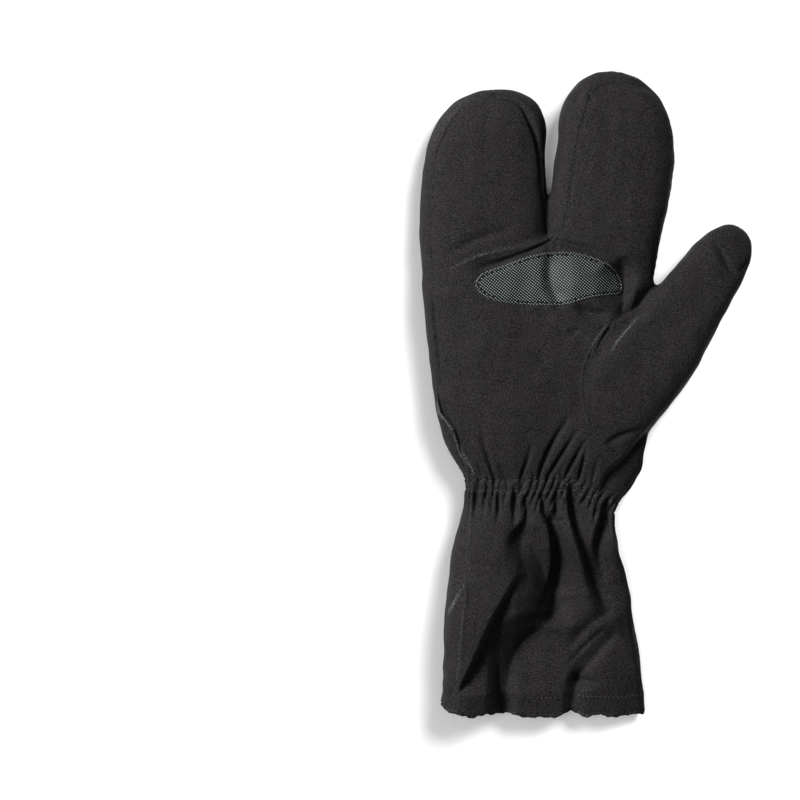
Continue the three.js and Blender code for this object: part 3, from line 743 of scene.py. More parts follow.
        (75.3, 69, 1.8, 1.4, 3.4), (78.9, 64.1, 1.6, 1.4, 2.6), (82.1, 60.9, 0, 1.4, 2),
    ],
    "thumb dart edge": [
        (80.8, 65.4, 0, 1.2, 1.4), (82.6, 67, 1.4, 1.2, 1.6), (84.8, 69.4, 1.4, 1.2, 1.6),
        (86.7, 73.4, 0, 1.2, 1.4),
    ],
}
foldShape = {"crest": 1.4, "bluntShare": 0.12, "bluntMost": 0.5}  # a crest of 1 is a sharp one
straightAcross = ("centre slope", "west slope", "long slant", "hem hollow", "flap by the hollow")


def smoothLine(through):
    points = np.array(through, float)
    for _ in range(3):
        points = np.concatenate([points[:1], cornersCut(points[:-1], points[1:]), points[-1:]])
    return points


# Signed distance beside a line (left is positive), with the line's other columns at the nearest place
def besideLine(at, line):
    best = np.full(len(at), farAway)
    aside = np.zeros(len(at))
    values = np.zeros((len(at), line.shape[1] - 2))
    for a, b in zip(line[:-1], line[1:]):
        dx, dy = b[:2] - a[:2]
        t = np.clip(((at[:, 0] - a[0]) * dx + (at[:, 1] - a[1]) * dy) / (dx * dx + dy * dy), 0, 1)
        distance = np.hypot(at[:, 0] - a[0] - t * dx, at[:, 1] - a[1] - t * dy)
        side = np.sign(dx * (at[:, 1] - a[1]) - dy * (at[:, 0] - a[0]))
        nearer = distance < best
        best = np.where(nearer, distance, best)
        aside = np.where(nearer, side * distance, aside)
        values[nearer] = a[2:] + t[nearer, None] * (b[2:] - a[2:])
    return aside, *values.T


# The same for a wide fold that runs down the mitt, measured straight across it
def acrossLine(at, line):
    rising = line[np.argsort(line[:, 1])]
    y = rising[:, 1]
    x, *values = [np.interp(at[:, 1], y, rising[:, k]) for k in (0, *range(2, line.shape[1]))]
    lean = np.interp(at[:, 1], y, np.gradient(rising[:, 0], y))
    values[0] = np.where((at[:, 1] < y[0]) | (at[:, 1] > y[-1]), 0, values[0])
    return (at[:, 0] - x) / np.hypot(1, lean), *values


# Which points lie in the box round a line, seen from above
def nearLine(at, line, margin):
    low, high = line[:, :2].min(axis=0) - margin, line[:, :2].max(axis=0) + margin
    return ((at[:, :2] > low) & (at[:, :2] < high)).all(axis=1)


# Height that the folds take from the palm side at each point
def foldDepth(at):
    total = np.zeros(len(at))
    for name, stations in folds.items():
        line = smoothLine(stations)
        near = nearLine(at, line, line[:, 3:].max())
        if not near.any():
            continue
        beside = acrossLine if name in straightAcross else besideLine
        aside, depth, left, right = beside(at[near], line)
        width = np.where(aside > 0, left, right)
        blunt = np.minimum(foldShape["bluntShare"] * width, foldShape["bluntMost"])
        t = (np.hypot(aside, blunt) - blunt) / width
        total[near] += depth * np.maximum(1 - t, 0) ** foldShape["crest"]
    return total


def ridge(distance, width):
    return np.exp(-((distance / width) ** 2))


# Painted sheen: pale strokes painted along the edges, creases and seam ridges where the light catches them
paintedSheenEdges = {
    # stations along an edge: x, y, how pale, how wide
    "left side of the hand": [
        (-81.1, -2.2, 0, 0.6), (-80.3, -6.5, 0.6, 0.6), (-79.2, -10.5, 1, 0.6), (-74.9, -14.8, 0.9, 0.6),
        (-70.9, -20.2, 0.9, 0.6), (-69, -27.4, 1, 0.7), (-65.8, -33.9, 1, 0.75), (-62, -39.8, 0.7, 0.7),
        (-59.8, -44.1, 0, 0.5),
    ],
    "left side seam of the cuff": [
        (-62, -56.9, 0, 0.4), (-62.4, -63.4, 0.12, 0.5), (-62.9, -78.4, 0.08, 0.5),
        (-63.3, -92.4, 0.08, 0.5), (-64.7, -106.9, 0.06, 0.5), (-67.1, -123, 0.11, 0.5),
        (-69, -140.2, 0.12, 0.5), (-70.4, -158.9, 0.06, 0.5), (-70.6, -164.3, 0, 0.4),
    ],
    "crease on the cuff's side": [
        (-65.1, -100.3, 0, 0.5), (-67.8, -105.2, 0.7, 0.55), (-71, -110.6, 0.9, 0.6),
        (-73.2, -116, 0.7, 0.6), (-74.3, -119.2, 0, 0.5),
    ],
    "edge of the outer lobe": [
        (-85.1, 122.9, 0, 2), (-83.5, 133.1, 0.06, 2.6), (-78.2, 145, 0.11, 3), (-69, 155.2, 0.11, 3),
        (-58.3, 159.7, 0.07, 2.4), (-51.8, 161.1, 0, 2),
    ],
    "tip of the inner lobe": [
        (-8.6, 161, 0, 0.6), (-6.7, 164.3, 0.5, 0.7), (-3.2, 168.6, 0.7, 0.7), (1.1, 172.1, 0.4, 0.6),
        (4.3, 173.1, 0, 0.5),
    ],
    "over the patch": [
        (-74.5, 66.3, 0, 0.5), (-67, 70.1, 0.22, 0.55), (-59, 73.6, 0.24, 0.55), (-46.6, 77.1, 0.14, 0.5),
        (-32.7, 78.9, 0, 0.5),
    ],
    "thumb crotch edge": [
        (28, 42.7, 0, 0.5), (23.7, 37.9, 0.5, 0.5), (19.4, 32.5, 0.5, 0.5), (14.6, 26.7, 0.6, 0.5),
        (11.4, 20.3, 0, 0.5),
    ],
    "thumb seam": [
        (10.6, 38.5, 0, 0.5), (6.9, 33.2, 0.2, 0.5), (2.6, 26.7, 0.2, 0.5), (-0.6, 20.3, 0, 0.5),
    ],
}
# How far the painted sheen reaches from its edge
sheenFade = {"reach": 6, "from": -0.1, "to": 0.2}  # from where to where it fades in as the cloth faces up
hemPaleEdge = {"middle": 0.45, "uneven": 0.4, "width": 0.8, "upTo": -100}


# How pale the painted sheen makes each point of the palm side, fading in where the cloth faces up
def paintedSheen(at, normal):
    most = np.zeros(len(at))
    for stations in paintedSheenEdges.values():
        line = smoothLine(stations)
        near = nearLine(at, line, sheenFade["reach"])
        aside, pale, width = besideLine(at[near], line)
        most[near] = np.maximum(most[near], pale * ridge(aside, width))
    return most * smoothstep(normal[:, 2], sheenFade["from"], sheenFade["to"])


# The hem's turned edge, paler in places
def selvedge(at):
    uneven = np.clip(hemPaleEdge["middle"] + hemPaleEdge["uneven"] * waveHeight(at, ruffleWaves), 0, 1)
    fromEdge = np.maximum(at[:, 1] - hem["from"], 0)
    return uneven * ridge(fromEdge, hemPaleEdge["width"]) * (at[:, 1] < hemPaleEdge["upTo"])


# Soft random heights: a sum of waves between two wavelengths
def softWaves(count, shortest, longest, seed):
    draw = np.random.default_rng(seed)
    direction = draw.normal(size=(count, 3))
    direction /= np.linalg.norm(direction, axis=1, keepdims=True)
    length = draw.uniform(shortest, longest, count)
    return direction * (2 * math.pi / length)[:, None], draw.uniform(0, 2 * math.pi, count)


def waveHeight(at, waves):
    directions, phases = waves
    return np.sin(at @ directions.T + phases).sum(axis=1) / math.sqrt(len(phases) / 2)


broadWaves = softWaves(18, 24, 70, 3)
smallWaves = softWaves(24, 7, 16, 5)
phaseWaves = softWaves(10, 12, 40, 7)
puckerWaves = softWaves(20, 2.6, 5.5, 9)
ruffleWaves = softWaves(14, 4, 16, 21)

gathers = {
    # the puffs that the elastic draws up: how many, how deep, and how far they run up and down
    "count": 50, "wander": 0.27, "roundness": 0.8, "depth": 2.9, "mean": 0.7, "uneven": 0.42,
    "fullTo": 2, "reachUp": 4, "reachDown": 7.5, "fade": 1.5,
    "onTheTape": 0.6, "tapeFrom": 1.2, "tapeTo": 3.6,
}
stitchRows = {
    # the two wavering rows sunk into the gathers
    "at": 2.3, "depth": 0.6, "width": 0.55, "deeper": 1.2, "least": 0.3, "tremble": 0.25,
    "upperWaver": 3.4, "upperMean": 0.45, "lowerWaver": 2.2, "lowerMean": 0.5,
}
hemRelief = {
    "gathers": 84, "wander": 0.5, "depth": 0.4, "mean": 0.6, "reach": 5,
    "drawnOver": 26, "ruffle": 0.62, "ruffleOver": 4,
}
softRelief = {"broad": 0.4, "small": 0.13, "calm": 0.6, "calmReach": 12}
seamRelief = {
    # how high each seam stands over the cloth or, where negative, how deep it lies, then its width
    "cuff": 0.2, "innerSide": -0.1, "lobes": -0.4, "inwards": 1.2, "outwards": 0.5,
    "thumb": (0.32, 0.6), "fourchette": (-0.3, 0.5), "pucker": (0.07, 3),
    "leftOf": -58, "rightOf": 30, "cuffBelow": -50, "calmBelow": -45, "shows": -0.3,
}
palmFacing = {"from": -0.05, "to": 0.55}  # the folds fade in between these as the cloth faces up
surface = {"least": 0.25, "backGathers": 0.1}  # height over the table of what would sink into it
lowSide = {
    # the cuff's flatter right side: across, up the sleeve, how much flatter, and how far it spreads
    "from": -38, "to": 30, "bottom": -118, "top": -74, "share": 0.54, "bend": 0.82, "outward": 2.6,
}
leftSeam = [
    # y along the left side seam, how far its line stands up there (a groove is negative)
    (-180, 0.35), (-66, 0.3), (-46, 0.6), (-24, 0.9), (-4, 0.6), (6, -0.5), (24, -0.9), (48, -0.7),
    (62, -0.25), (104, -0.3), (126, -0.5), (180, -0.5),
]


# Height of the seams over the cloth round them, each only where that seam is sewn
def seamHeight(at):
    x, y = at[:, 0], at[:, 1]
    palm, setIn, between = palmField(at), thumbField(at), fourchetteField(at)
    onHand = setIn > seamRelief["shows"]
    palm = np.where(onHand, palm, farAway)
    sewn = onTheOval(np.linspace(*thumbSeamEnds, thumbOval["sewnSteps"]))
    root = np.where(at[:, 2] < thumbOval["waist"], farAway, np.abs(besideLine(at, sewn)[0]))
    between = np.where(onHand & (palm > seamRelief["shows"]), np.abs(between), farAway)
    table = np.array(leftSeam)
    side = np.where(x > seamRelief["rightOf"], seamRelief["innerSide"], seamRelief["lobes"])
    side = np.where(y < seamRelief["cuffBelow"], seamRelief["cuff"], side)
    side = np.where(x < seamRelief["leftOf"], np.interp(y, table[:, 0], table[:, 1]), side)
    height = side * ridge(palm, np.where(palm < 0, seamRelief["inwards"], seamRelief["outwards"]))
    for away, (rise, width) in ((root, seamRelief["thumb"]), (between, seamRelief["fourchette"])):
        height += rise * ridge(away, width)
    nearest = np.minimum(np.minimum(np.abs(palm), root), between)
    nearest = np.where(y < seamRelief["calmBelow"], farAway, nearest)
    pucker, reach = seamRelief["pucker"]
    return height + waveHeight(at, puckerWaves) * pucker * ridge(nearest, reach)


def gatherWarp(at):
    return waveHeight(at * np.array([1, 0.25, 1]), phaseWaves)


# The gathers' puffs round the wrist, from 0 in a valley to 1 on a crest
def puffs(at):
    phase = roundTheRing(at)[0] * gathers["count"] + gathers["wander"] * gatherWarp(at)
    return np.abs(np.sin(math.pi * phase)) ** gathers["roundness"]


# How far from the middle of the elastic its two rows of stitches run
def rowDistance(at, puff, upper):
    high = stitchRows["upperWaver"] * (puff - stitchRows["upperMean"])
    low = stitchRows["lowerWaver"] * (stitchRows["lowerMean"] - puff)
    tremble = stitchRows["tremble"] * waveHeight(at, puckerWaves)
    return stitchRows["at"] + np.where(upper, high, low) + tremble


# Height of the gathers round the elastic, less the two rows of stitches sunk into them
def wristGathers(at):
    above = wristField(at)
    away = np.abs(above)
    reach = np.where(above > 0, gathers["reachUp"], gathers["reachDown"])
    beyond = np.maximum(away - gathers["fullTo"], 0)
    offTheTape = smoothstep(away, gathers["tapeFrom"], gathers["tapeTo"])
    near = np.exp(-((beyond / reach) ** gathers["fade"]))
    near *= gathers["onTheTape"] + (1 - gathers["onTheTape"]) * offTheTape
    puff = puffs(at)
    uneven = 1 + gathers["uneven"] * waveHeight(at * np.array([1, 0.1, 1]) + 40, phaseWaves)
    rows = ridge(away - rowDistance(at, puff, above > 0), stitchRows["width"])
    sunk = stitchRows["depth"] * rows * np.clip(stitchRows["deeper"] * puff, stitchRows["least"], 1)
    return gathers["depth"] * near * (puff - gathers["mean"]) * uneven - sunk


# Height of the fine gathers at the hem's narrow elastic
def hemGathers(at):
    near = ridge(np.maximum(at[:, 1] - hem["from"], 0), hemRelief["reach"])
    phase = roundTheRing(at)[0] * hemRelief["gathers"] + hemRelief["wander"] * gatherWarp(at)
    return hemRelief["depth"] * near * (np.abs(np.sin(math.pi * phase)) - hemRelief["mean"])


# How far the cuff's edge is drawn up the sleeve
def drawnUp(at):
    edge = np.array(hemEdge, float)
    drawn = np.interp(at[:, 0], edge[:, 0], edge[:, 1])
    return drawn * (1 - smoothstep(at[:, 1], hem["from"], hem["from"] + hemRelief["drawnOver"]))


# The fine ruffle along that edge
def ruffled(at):
    ruffle = hemRelief["ruffle"] * waveHeight(at * np.array([1, 0, 1]), ruffleWaves)
    return ruffle * (1 - smoothstep(at[:, 1], hem["from"], hem["from"] + hemRelief["ruffleOver"]))


# How much flatter the cuff lies towards its right side
def flattening(at):
    aside = np.clip((at[:, 0] - lowSide["from"]) / (lowSide["to"] - lowSide["from"]), 0, 1)
    down = 1 - smoothstep(at[:, 1], lowSide["bottom"], lowSide["top"])
    return lowSide["share"] * aside ** lowSide["bend"] * down


# Moves the plain skin into its worn shape: gathers, folds, seams and soft waves
def sculpted(at, normal):
    palmSide = smoothstep(normal[:, 2], palmFacing["from"], palmFacing["to"])
    gather = wristGathers(at) + hemGathers(at)
    calm = 1 - softRelief["calm"] * ridge(wristField(at), softRelief["calmReach"])
    swell = softRelief["broad"] * waveHeight(at, broadWaves) * calm
    swell += softRelief["small"] * waveHeight(at, smallWaves)
    moved = at + normal * (gather + swell + seamHeight(at))[:, None]
    moved[:, 2] -= foldDepth(at) * palmSide
    low = flattening(at)
    moved[:, 2] *= 1 - low
    moved[:, 0] += lowSide["outward"] * low
    lowest = surface["least"] + surface["backGathers"] * (1 - palmSide) * np.abs(gather)
    moved[:, 2] = np.maximum(moved[:, 2], lowest)
    moved[:, 1] += drawnUp(at)
    moved[:, 1] += ruffled(at)
    return moved


def sculptSkin(skin):
    at, tri = skin
    return sculpted(at[:, :3], at[:, 3:6]), tri


fineness = {
    # longest edges left in the gathers, beside the seams, under the painted sheen and elsewhere
    "gathers": 0.7, "seams": 0.7, "paintedSheen": 0.5, "folds": 1.7,
    "gathersDown": 13, "gathersUp": 12, "seamReach": 2.2, "paintedSheenFrom": 0.02, "normalRounds": 4,
}


# Splits the long edges, either the wanted ones or those that the folds stretch
def refine(skin, longest, wanted=None):
    at, tri = skin
    edges, place = edgesOf(tri)
    measured = at[:, :3] if wanted else sculpted(at[:, :3], at[:, 3:6])
    marked = np.linalg.norm(measured[edges[:, 0]] - measured[edges[:, 1]], axis=1) > longest
    if wanted:
        marked &= wanted(at[edges].mean(axis=1))
    return splitEdges(at, tri, edges, place, marked, np.full(len(edges), 0.5))


def inTheGathers(at):
    above = wristField(at)
    return (above > -fineness["gathersDown"]) & (above < fineness["gathersUp"])


def besideSeams(at):
    return np.minimum(np.abs(palmField(at)), np.abs(thumbField(at))) < fineness["seamReach"]


# Points under the painted sheen
def onPaintedSheen(at):
    return paintedSheen(at[:, :3], at[:, 3:6]) > fineness["paintedSheenFrom"]


# The skin, made finer where it needs it and cut into its panels
def cutPieces():
    points, tri = wholeSkin()
    print("even skin:", len(points), "points")
    points = relax(points, tri, shape["smoothing"])
    normal = relax(normalsOf(points, tri), tri, fineness["normalRounds"])
    normal /= np.linalg.norm(normal, axis=1, keepdims=True)
    skin = (np.concatenate([points, normal], 1), tri)
    skin = refine(skin, fineness["gathers"], inTheGathers)
    skin = refine(skin, fineness["seams"], besideSeams)
    skin = refine(skin, fineness["paintedSheen"], onPaintedSheen)
    skin = refine(skin, fineness["folds"])
    print("refined skin:", len(skin[1]), "triangles")
    turnedUp, _ = cutAlong(skin, lambda at: at[:, 1] - hem["to"])
    _, turnedUp = cutAlong(turnedUp, lambda at: at[:, 1] - hem["from"])
    _, body = cutAlong(skin, hemField)
    cuff, hand = cutAlong(body, wristField)
    cuffPalm, cuffBack = cutAlong(cuff, palmField)
    thumbPiece, rest = cutAlong(hand, thumbField)
    palmPanel, sides = cutAlong(rest, palmField)
    fourchette, backPanel = cutAlong(sides, fourchetteField)
    return {
        "palm_panel": palmPanel, "back_panel": backPanel, "fourchette": fourchette, "thumb": thumbPiece,
        "cuff_palm": cuffPalm, "cuff_back": cuffBack, "hem_casing": turnedUp, "whole": skin,
    }


pattern = {
    # where the cloth's coordinates start on a piece, and how far they run on down its sides
    "palmMiddle": 0.25, "backMiddle": 0.75, "flatShare": 0.2, "sideShare": 0.5,
    "thumbTop": 24, "thumbSide": 0.9,
}


# Cloth coordinates in metres: round the ring from the middle of the panel, and along the mitt
def clothCoordinates(name, at):
    if name == "thumb":
        c, s = math.cos(thumbBase["angle"]), math.sin(thumbBase["angle"])
        x, y = at[:, 0] - thumbBase["x"], at[:, 1] - thumbBase["y"]
        across, along = c * x - s * y, s * x + c * y
        side = np.where(across > 0, 1, -1) * (pattern["thumbTop"] - at[:, 2])
        return np.stack([across + pattern["thumbSide"] * side, along], 1) * mm
    if name == "fourchette":
        return at[:, [2, 1]] * mm
    share, length = roundTheRing(at)
    middle = pattern["palmMiddle"] if name in ("palm_panel", "cuff_palm") else pattern["backMiddle"]
    turned = (share - middle + 0.5) % 1 - 0.5
    if name in ("palm_panel", "back_panel"):
        side = np.sign(turned) * np.maximum(0, np.abs(turned) - pattern["flatShare"]) * length
        return np.stack([at[:, 0] + side * pattern["sideShare"], at[:, 1]], 1) * mm
    return np.stack([turned * length, at[:, 1]], 1) * mm


def addMesh(name, points, tri, uv=None):
    mesh = bpy.data.meshes.new(name)
    mesh.vertices.add(len(points))
    mesh.vertices.foreach_set("co", (points * mm).ravel())
    mesh.loops.add(len(tri) * 3)
    mesh.loops.foreach_set("vertex_index", tri.ravel())
    mesh.polygons.add(len(tri))
    mesh.polygons.foreach_set("loop_start", np.arange(0, len(tri) * 3, 3))
    mesh.polygons.foreach_set("use_smooth", np.ones(len(tri), bool))
    mesh.update(calc_edges=True)
    if uv is not None:
        layer = mesh.uv_layers.new(name="cloth")
        layer.data.foreach_set("uv", uv[tri.ravel()].ravel())
    piece = bpy.data.objects.new(name, mesh)
    bpy.context.collection.objects.link(piece)
    return piece


# A value at each point that the material reads
def addValue(piece, name, values):
    piece.data.attributes.new(name, "FLOAT", "POINT").data.foreach_set("value", values)


def giveThickness(piece, thickness):
    selectOnly(piece)
    wall = piece.modifiers.new("wall", "SOLIDIFY")
    wall.thickness = thickness * mm
    wall.offset = -1
    wall.use_even_offset = False
    bpy.ops.object.modifier_apply(modifier=wall.name)
    bpy.ops.object.shade_smooth_by_angle(angle=math.radians(62))


# Materials

def nodeIn(tree, kind, **settings):
    node = tree.nodes.new(kind)
    for name, value in settings.items():
        setattr(node, name, value)
    return node


# Gives a socket another node's output, a colour or a number
def feed(tree, socket, value):
    if isinstance(value, bpy.types.NodeSocket):
        tree.links.new(value, socket)
    elif isinstance(value, tuple):
        socket.default_value = (*value, 1)
    else:
        socket.default_value = value


def mathNode(tree, operation, *values):
    node = nodeIn(tree, "ShaderNodeMath", operation=operation)
    for socket, value in zip(node.inputs, values):
        feed(tree, socket, value)
    return node.outputs[0]


def noise(tree, scale, detail=2):
    node = nodeIn(tree, "ShaderNodeTexNoise")
    feed(tree, node.inputs["Scale"], scale)
    feed(tree, node.inputs["Detail"], detail)
    feed(tree, node.inputs["Vector"], nodeIn(tree, "ShaderNodeTexCoord").outputs["Object"])
    return node.outputs["Fac"]


# Noise made stronger round its middle of a half, and moved to another middle
def spread(tree, value, strength, middle):
    return mathNode(tree, "MULTIPLY_ADD", mathNode(tree, "SUBTRACT", value, 0.5), strength, middle)


def mixed(tree, factor, a, b, blend="MIX"):
    node = nodeIn(tree, "ShaderNodeMix", data_type="RGBA", clamp_factor=True, blend_type=blend)
    for name, value in (("Factor", factor), ("A", a), ("B", b)):
        feed(tree, node.inputs[name], value)
    return node.outputs["Result"]


def valueOf(tree, name):
    return nodeIn(tree, "ShaderNodeAttribute", attribute_name=name).outputs["Fac"]


# Two waves over the cloth's coordinates, across and along it, each from 0 to 1
def threadWaves(tree, pitch):
    split = nodeIn(tree, "ShaderNodeSeparateXYZ")
    feed(tree, split.inputs[0], nodeIn(tree, "ShaderNodeUVMap", uv_map="cloth").outputs["UV"])
    waves = []
    for axis in ("X", "Y"):
        turned = mathNode(tree, "MULTIPLY", split.outputs[axis], 2 * math.pi / pitch)
        waves.append(mathNode(tree, "MULTIPLY_ADD", mathNode(tree, "SINE", turned), 0.5, 0.5))
    return waves


def addBump(tree, shader, height, strength, distance):
    bump = nodeIn(tree, "ShaderNodeBump")
    for name, value in (("Strength", strength), ("Distance", distance), ("Height", height)):
        feed(tree, bump.inputs[name], value)
    feed(tree, shader.inputs["Normal"], bump.outputs["Normal"])


shellFinish = {
    # the pale colour is painted sheen on the edges, and is also laid on the hem's paler edge
    "dark": (0.0046, 0.0042, 0.0044), "light": (0.0238, 0.0220, 0.0229), "paintedSheen": (0.098, 0.093, 0.095),
    "cool": (0.985, 0.99, 1.025), "warm": (1.025, 0.995, 0.985),
    "grain": 2300, "speckle": 8, "darker": 0.45, "cloud": 150, "cloudDetail": 3, "cloudStrength": 0.2,
    "hueCloud": 80, "hueStrength": 3.2, "sheenAndPaleHemBase": 0.35,
    "thread": 0.00052, "grainHeight": 0.8, "bump": 0.35, "bumpHeight": 0.00012,
    "roughness": 0.7, "specular": 0.06, "sheen": 0.01, "sheenRoughness": 0.5,
}


def shellCloth():
    material, tree, shader = newMaterial("shellCloth", shellFinish["roughness"])
    warp, weft = threadWaves(tree, shellFinish["thread"])
    overs = mathNode(tree, "MULTIPLY", warp, mathNode(tree, "SUBTRACT", 1, weft))
    unders = mathNode(tree, "MULTIPLY", weft, mathNode(tree, "SUBTRACT", 1, warp))
    weave = mathNode(tree, "MAXIMUM", overs, unders)
    grain = noise(tree, shellFinish["grain"], 0)
    speckle = spread(tree, grain, shellFinish["speckle"], shellFinish["darker"])
    cloud = noise(tree, shellFinish["cloud"], shellFinish["cloudDetail"])
    tone = spread(tree, cloud, shellFinish["cloudStrength"], speckle)
    cloth = mixed(tree, tone, shellFinish["dark"], shellFinish["light"])
    hue = spread(tree, noise(tree, shellFinish["hueCloud"]), shellFinish["hueStrength"], 0.5)
    tint = mixed(tree, hue, shellFinish["cool"], shellFinish["warm"])
    tinted = mixed(tree, 1, cloth, tint, "MULTIPLY")
    # Painted sheen along the edges, and the hem's paler edge: the pale colour mixed in by the value at each
    # point
    lit = mathNode(tree, "ADD", tone, shellFinish["sheenAndPaleHemBase"])
    sheenAndPaleHem = mathNode(tree, "MULTIPLY", valueOf(tree, "sheenAndPaleHem"), lit)
    feed(tree, shader.inputs["Base Color"], mixed(tree, sheenAndPaleHem, tinted, shellFinish["paintedSheen"]))
    height = mathNode(tree, "MULTIPLY_ADD", grain, shellFinish["grainHeight"], weave)
    addBump(tree, shader, height, shellFinish["bump"], shellFinish["bumpHeight"])
    shader.inputs["Specular IOR Level"].default_value = shellFinish["specular"]
    shader.inputs["Sheen Weight"].default_value = shellFinish["sheen"]
    shader.inputs["Sheen Roughness"].default_value = shellFinish["sheenRoughness"]
    return material


meshFinish = {
    "hole": (0.0020, 0.0030, 0.0024), "thread": (0.57, 0.66, 0.6), "rim": (0.25, 0.265, 0.25),
    "pitch": 0.00122, "rimWidth": 1.2,
    "knotAcross": 4, "knotAlong": 5, "strand": 0.08, "rope": 1.3,
    "cloud": 120, "cloudStrength": 0.5, "bump": 0.6, "bumpHeight": 0.0003,
    "roughness": 0.5, "specular": 0.1,
}


# Knots of thread over dark holes, with a twisted rope of the same thread round the rim
def gripMesh():
    material, tree, shader = newMaterial("gripMesh", meshFinish["roughness"])
    down, up = threadWaves(tree, meshFinish["pitch"])
    strand = mathNode(tree, "POWER", up, meshFinish["knotAlong"])
    knots = mathNode(tree, "MULTIPLY", mathNode(tree, "POWER", down, meshFinish["knotAcross"]), strand)
    strands = mathNode(tree, "MAXIMUM", knots, mathNode(tree, "MULTIPLY", strand, meshFinish["strand"]))
    uneven = spread(tree, noise(tree, meshFinish["cloud"]), meshFinish["cloudStrength"], 1)
    net = mixed(tree, mathNode(tree, "MULTIPLY", strands, uneven), meshFinish["hole"], meshFinish["thread"])
    rope = mathNode(tree, "POWER", mathNode(tree, "MULTIPLY", down, up), meshFinish["rope"])
    rim = mixed(tree, rope, meshFinish["hole"], meshFinish["rim"])
    onRim = mathNode(tree, "LESS_THAN", valueOf(tree, "fromEdge"), meshFinish["rimWidth"])
    feed(tree, shader.inputs["Base Color"], mixed(tree, onRim, net, rim))
    addBump(tree, shader, strands, meshFinish["bump"], meshFinish["bumpHeight"])
    shader.inputs["Specular IOR Level"].default_value = meshFinish["specular"]
    return material


textiles = {
    # name: dark shade, light shade, size of the grain, roughness
    "elasticTape": ((0.006, 0.006, 0.006), (0.02, 0.02, 0.02), 1500, 0.85),
    "darkThread": ((0.002, 0.002, 0.002), (0.006, 0.006, 0.006), 2500, 0.7),
    "faintThread": ((0.016, 0.015, 0.0155), (0.050, 0.047, 0.048), 2500, 0.6),
    "paleThread": ((0.012, 0.012, 0.012), (0.150, 0.142, 0.146), 900, 0.6),
}
textileFinish = {"detail": 3, "bump": 0.5, "bumpHeight": 0.0001, "specular": 0.08}


def plainTextile(name):
    dark, light, scale, roughness = textiles[name]
    material, tree, shader = newMaterial(name, roughness)
    grain = noise(tree, scale, textileFinish["detail"])
    feed(tree, shader.inputs["Base Color"], mixed(tree, grain, dark, light))
    addBump(tree, shader, grain, textileFinish["bump"], textileFinish["bumpHeight"])
    shader.inputs["Specular IOR Level"].default_value = textileFinish["specular"]
    return material


clothMaterial = shellCloth()
meshMaterial = gripMesh()
tapeMaterial, darkThread, faintThread, paleThread = (plainTextile(name) for name in textiles)
print("materials")


def dress(piece, node, material, replaced=True):
    piece.data.materials.append(material)
    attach(piece, "root")
    if replaced:
        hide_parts(node)


# The cloth panels

panels = {
    # node: wall, flat width and length in mm, how it is held, share of that rectangle that is cloth
    "palm_panel": {"wall": 0.9, "flat": (135, 235), "held": "laid", "share": 0.7},
    "back_panel": {"wall": 0.9, "flat": (190, 240), "held": "gathered", "share": 0.72},
    "fourchette": {"wall": 0.9, "flat": (45, 190), "held": "laid", "share": 0.44},
    "thumb": {"wall": 0.9, "flat": (125, 150), "held": "laid", "share": 0.63},
    "cuff_palm": {"wall": 0.9, "flat": (115, 125), "held": "gathered", "share": 0.9},
    "cuff_back": {"wall": 0.9, "flat": (150, 125), "held": "gathered", "share": 0.9},
}


def surfaceArea(points, tri):
    a, b, c = (points[tri[:, k]] for k in range(3))
    return np.linalg.norm(np.cross(b - a, c - a), axis=1).sum() / 2


skins = cutPieces()
worn = {}
for node, panel in panels.items():
    skin = skins[node]
    plain, normal = skin[0][:, :3], skin[0][:, 3:6]
    points, tri = sculptSkin(skin)
    worn[node] = (points, tri)
    piece = addMesh(node + "_cloth", points, tri, clothCoordinates(node, plain))
    # The value carries the painted sheen along the edges and the hem's paler edge
    addValue(piece, "sheenAndPaleHem", paintedSheen(plain, normal) + selvedge(plain))
    giveThickness(piece, panel["wall"])
    dress(piece, node, clothMaterial)
    width, length = panel["flat"]
    share = surfaceArea(points, tri) / (width * length)
    print(node, len(tri), "triangles,", round(share, 3), "of the flat cut")
print("cloth panels")


# The turned hem: the cuff's own cloth rolled in under its edge, over a narrow elastic

hemBand = {"flat": (250, 11), "roll": 0.75, "rollWidth": 0.6}
at, tri = skins["hem_casing"]
inward = hem["inside"] - hemBand["roll"] * ridge(at[:, 1] - hem["from"], hemBand["rollWidth"])
at[:, :3] -= at[:, 3:6] * inward[:, None]
points, tri = sculptSkin((at, tri))
hemPiece = addMesh("hem_casing_cloth", points, tri, clothCoordinates("cuff_palm", at[:, :3]))
giveThickness(hemPiece, hem["wall"])
dress(hemPiece, "hem_casing", clothMaterial)
print("hem", round(surfaceArea(points, tri)), "square mm")


# The elastic tape inside the gathers

tapeShape = {"around": 260, "rows": 5, "inside": 4.2, "foldMost": 4, "foldFrom": 12, "foldTo": 17}


# Its outer face from one edge to the other, then its inner face back again
def makeTape():
    around, rows = tapeShape["around"], tapeShape["rows"]
    middle = pillow(sectionsAt(sleeve, elastic["y"] - elastic["drop"] / 2), around)
    rings = []
    for side in (0, 1):
        inset = tapeShape["inside"] + side * elastic["thickness"]
        for r in reversed(range(rows)) if side else range(rows):
            line = elasticLine(middle[:, 0]) + (r / (rows - 1) - 0.5) * elastic["width"]
            levels = [pillow(sectionsAt(sleeve, y), around, inset=inset)[i] for i, y in enumerate(line)]
            ring = np.insert(np.array(levels), 1, line, axis=1)
            pressed = np.minimum(foldDepth(ring), tapeShape["foldMost"])
            ring[:, 2] -= pressed * smoothstep(ring[:, 2], tapeShape["foldFrom"], tapeShape["foldTo"])
            rings.append(ring)
    index = np.arange(len(rings) * around).reshape(len(rings), around)
    ahead, over = np.roll(index, -1, axis=0), np.roll(index, -1, axis=1)
    both = np.roll(ahead, -1, axis=1)
    quads = np.stack([index, over, both, ahead], -1).reshape(-1, 4)
    return np.concatenate(rings), np.concatenate([quads[:, [2, 1, 0]], quads[:, [3, 2, 0]]])


tape = addMesh("wrist_elastic_tape", *makeTape())
dress(tape, "wrist_elastic", tapeMaterial)
print("wrist elastic")


# The grip patch: a lens of coarse mesh draped on the palm

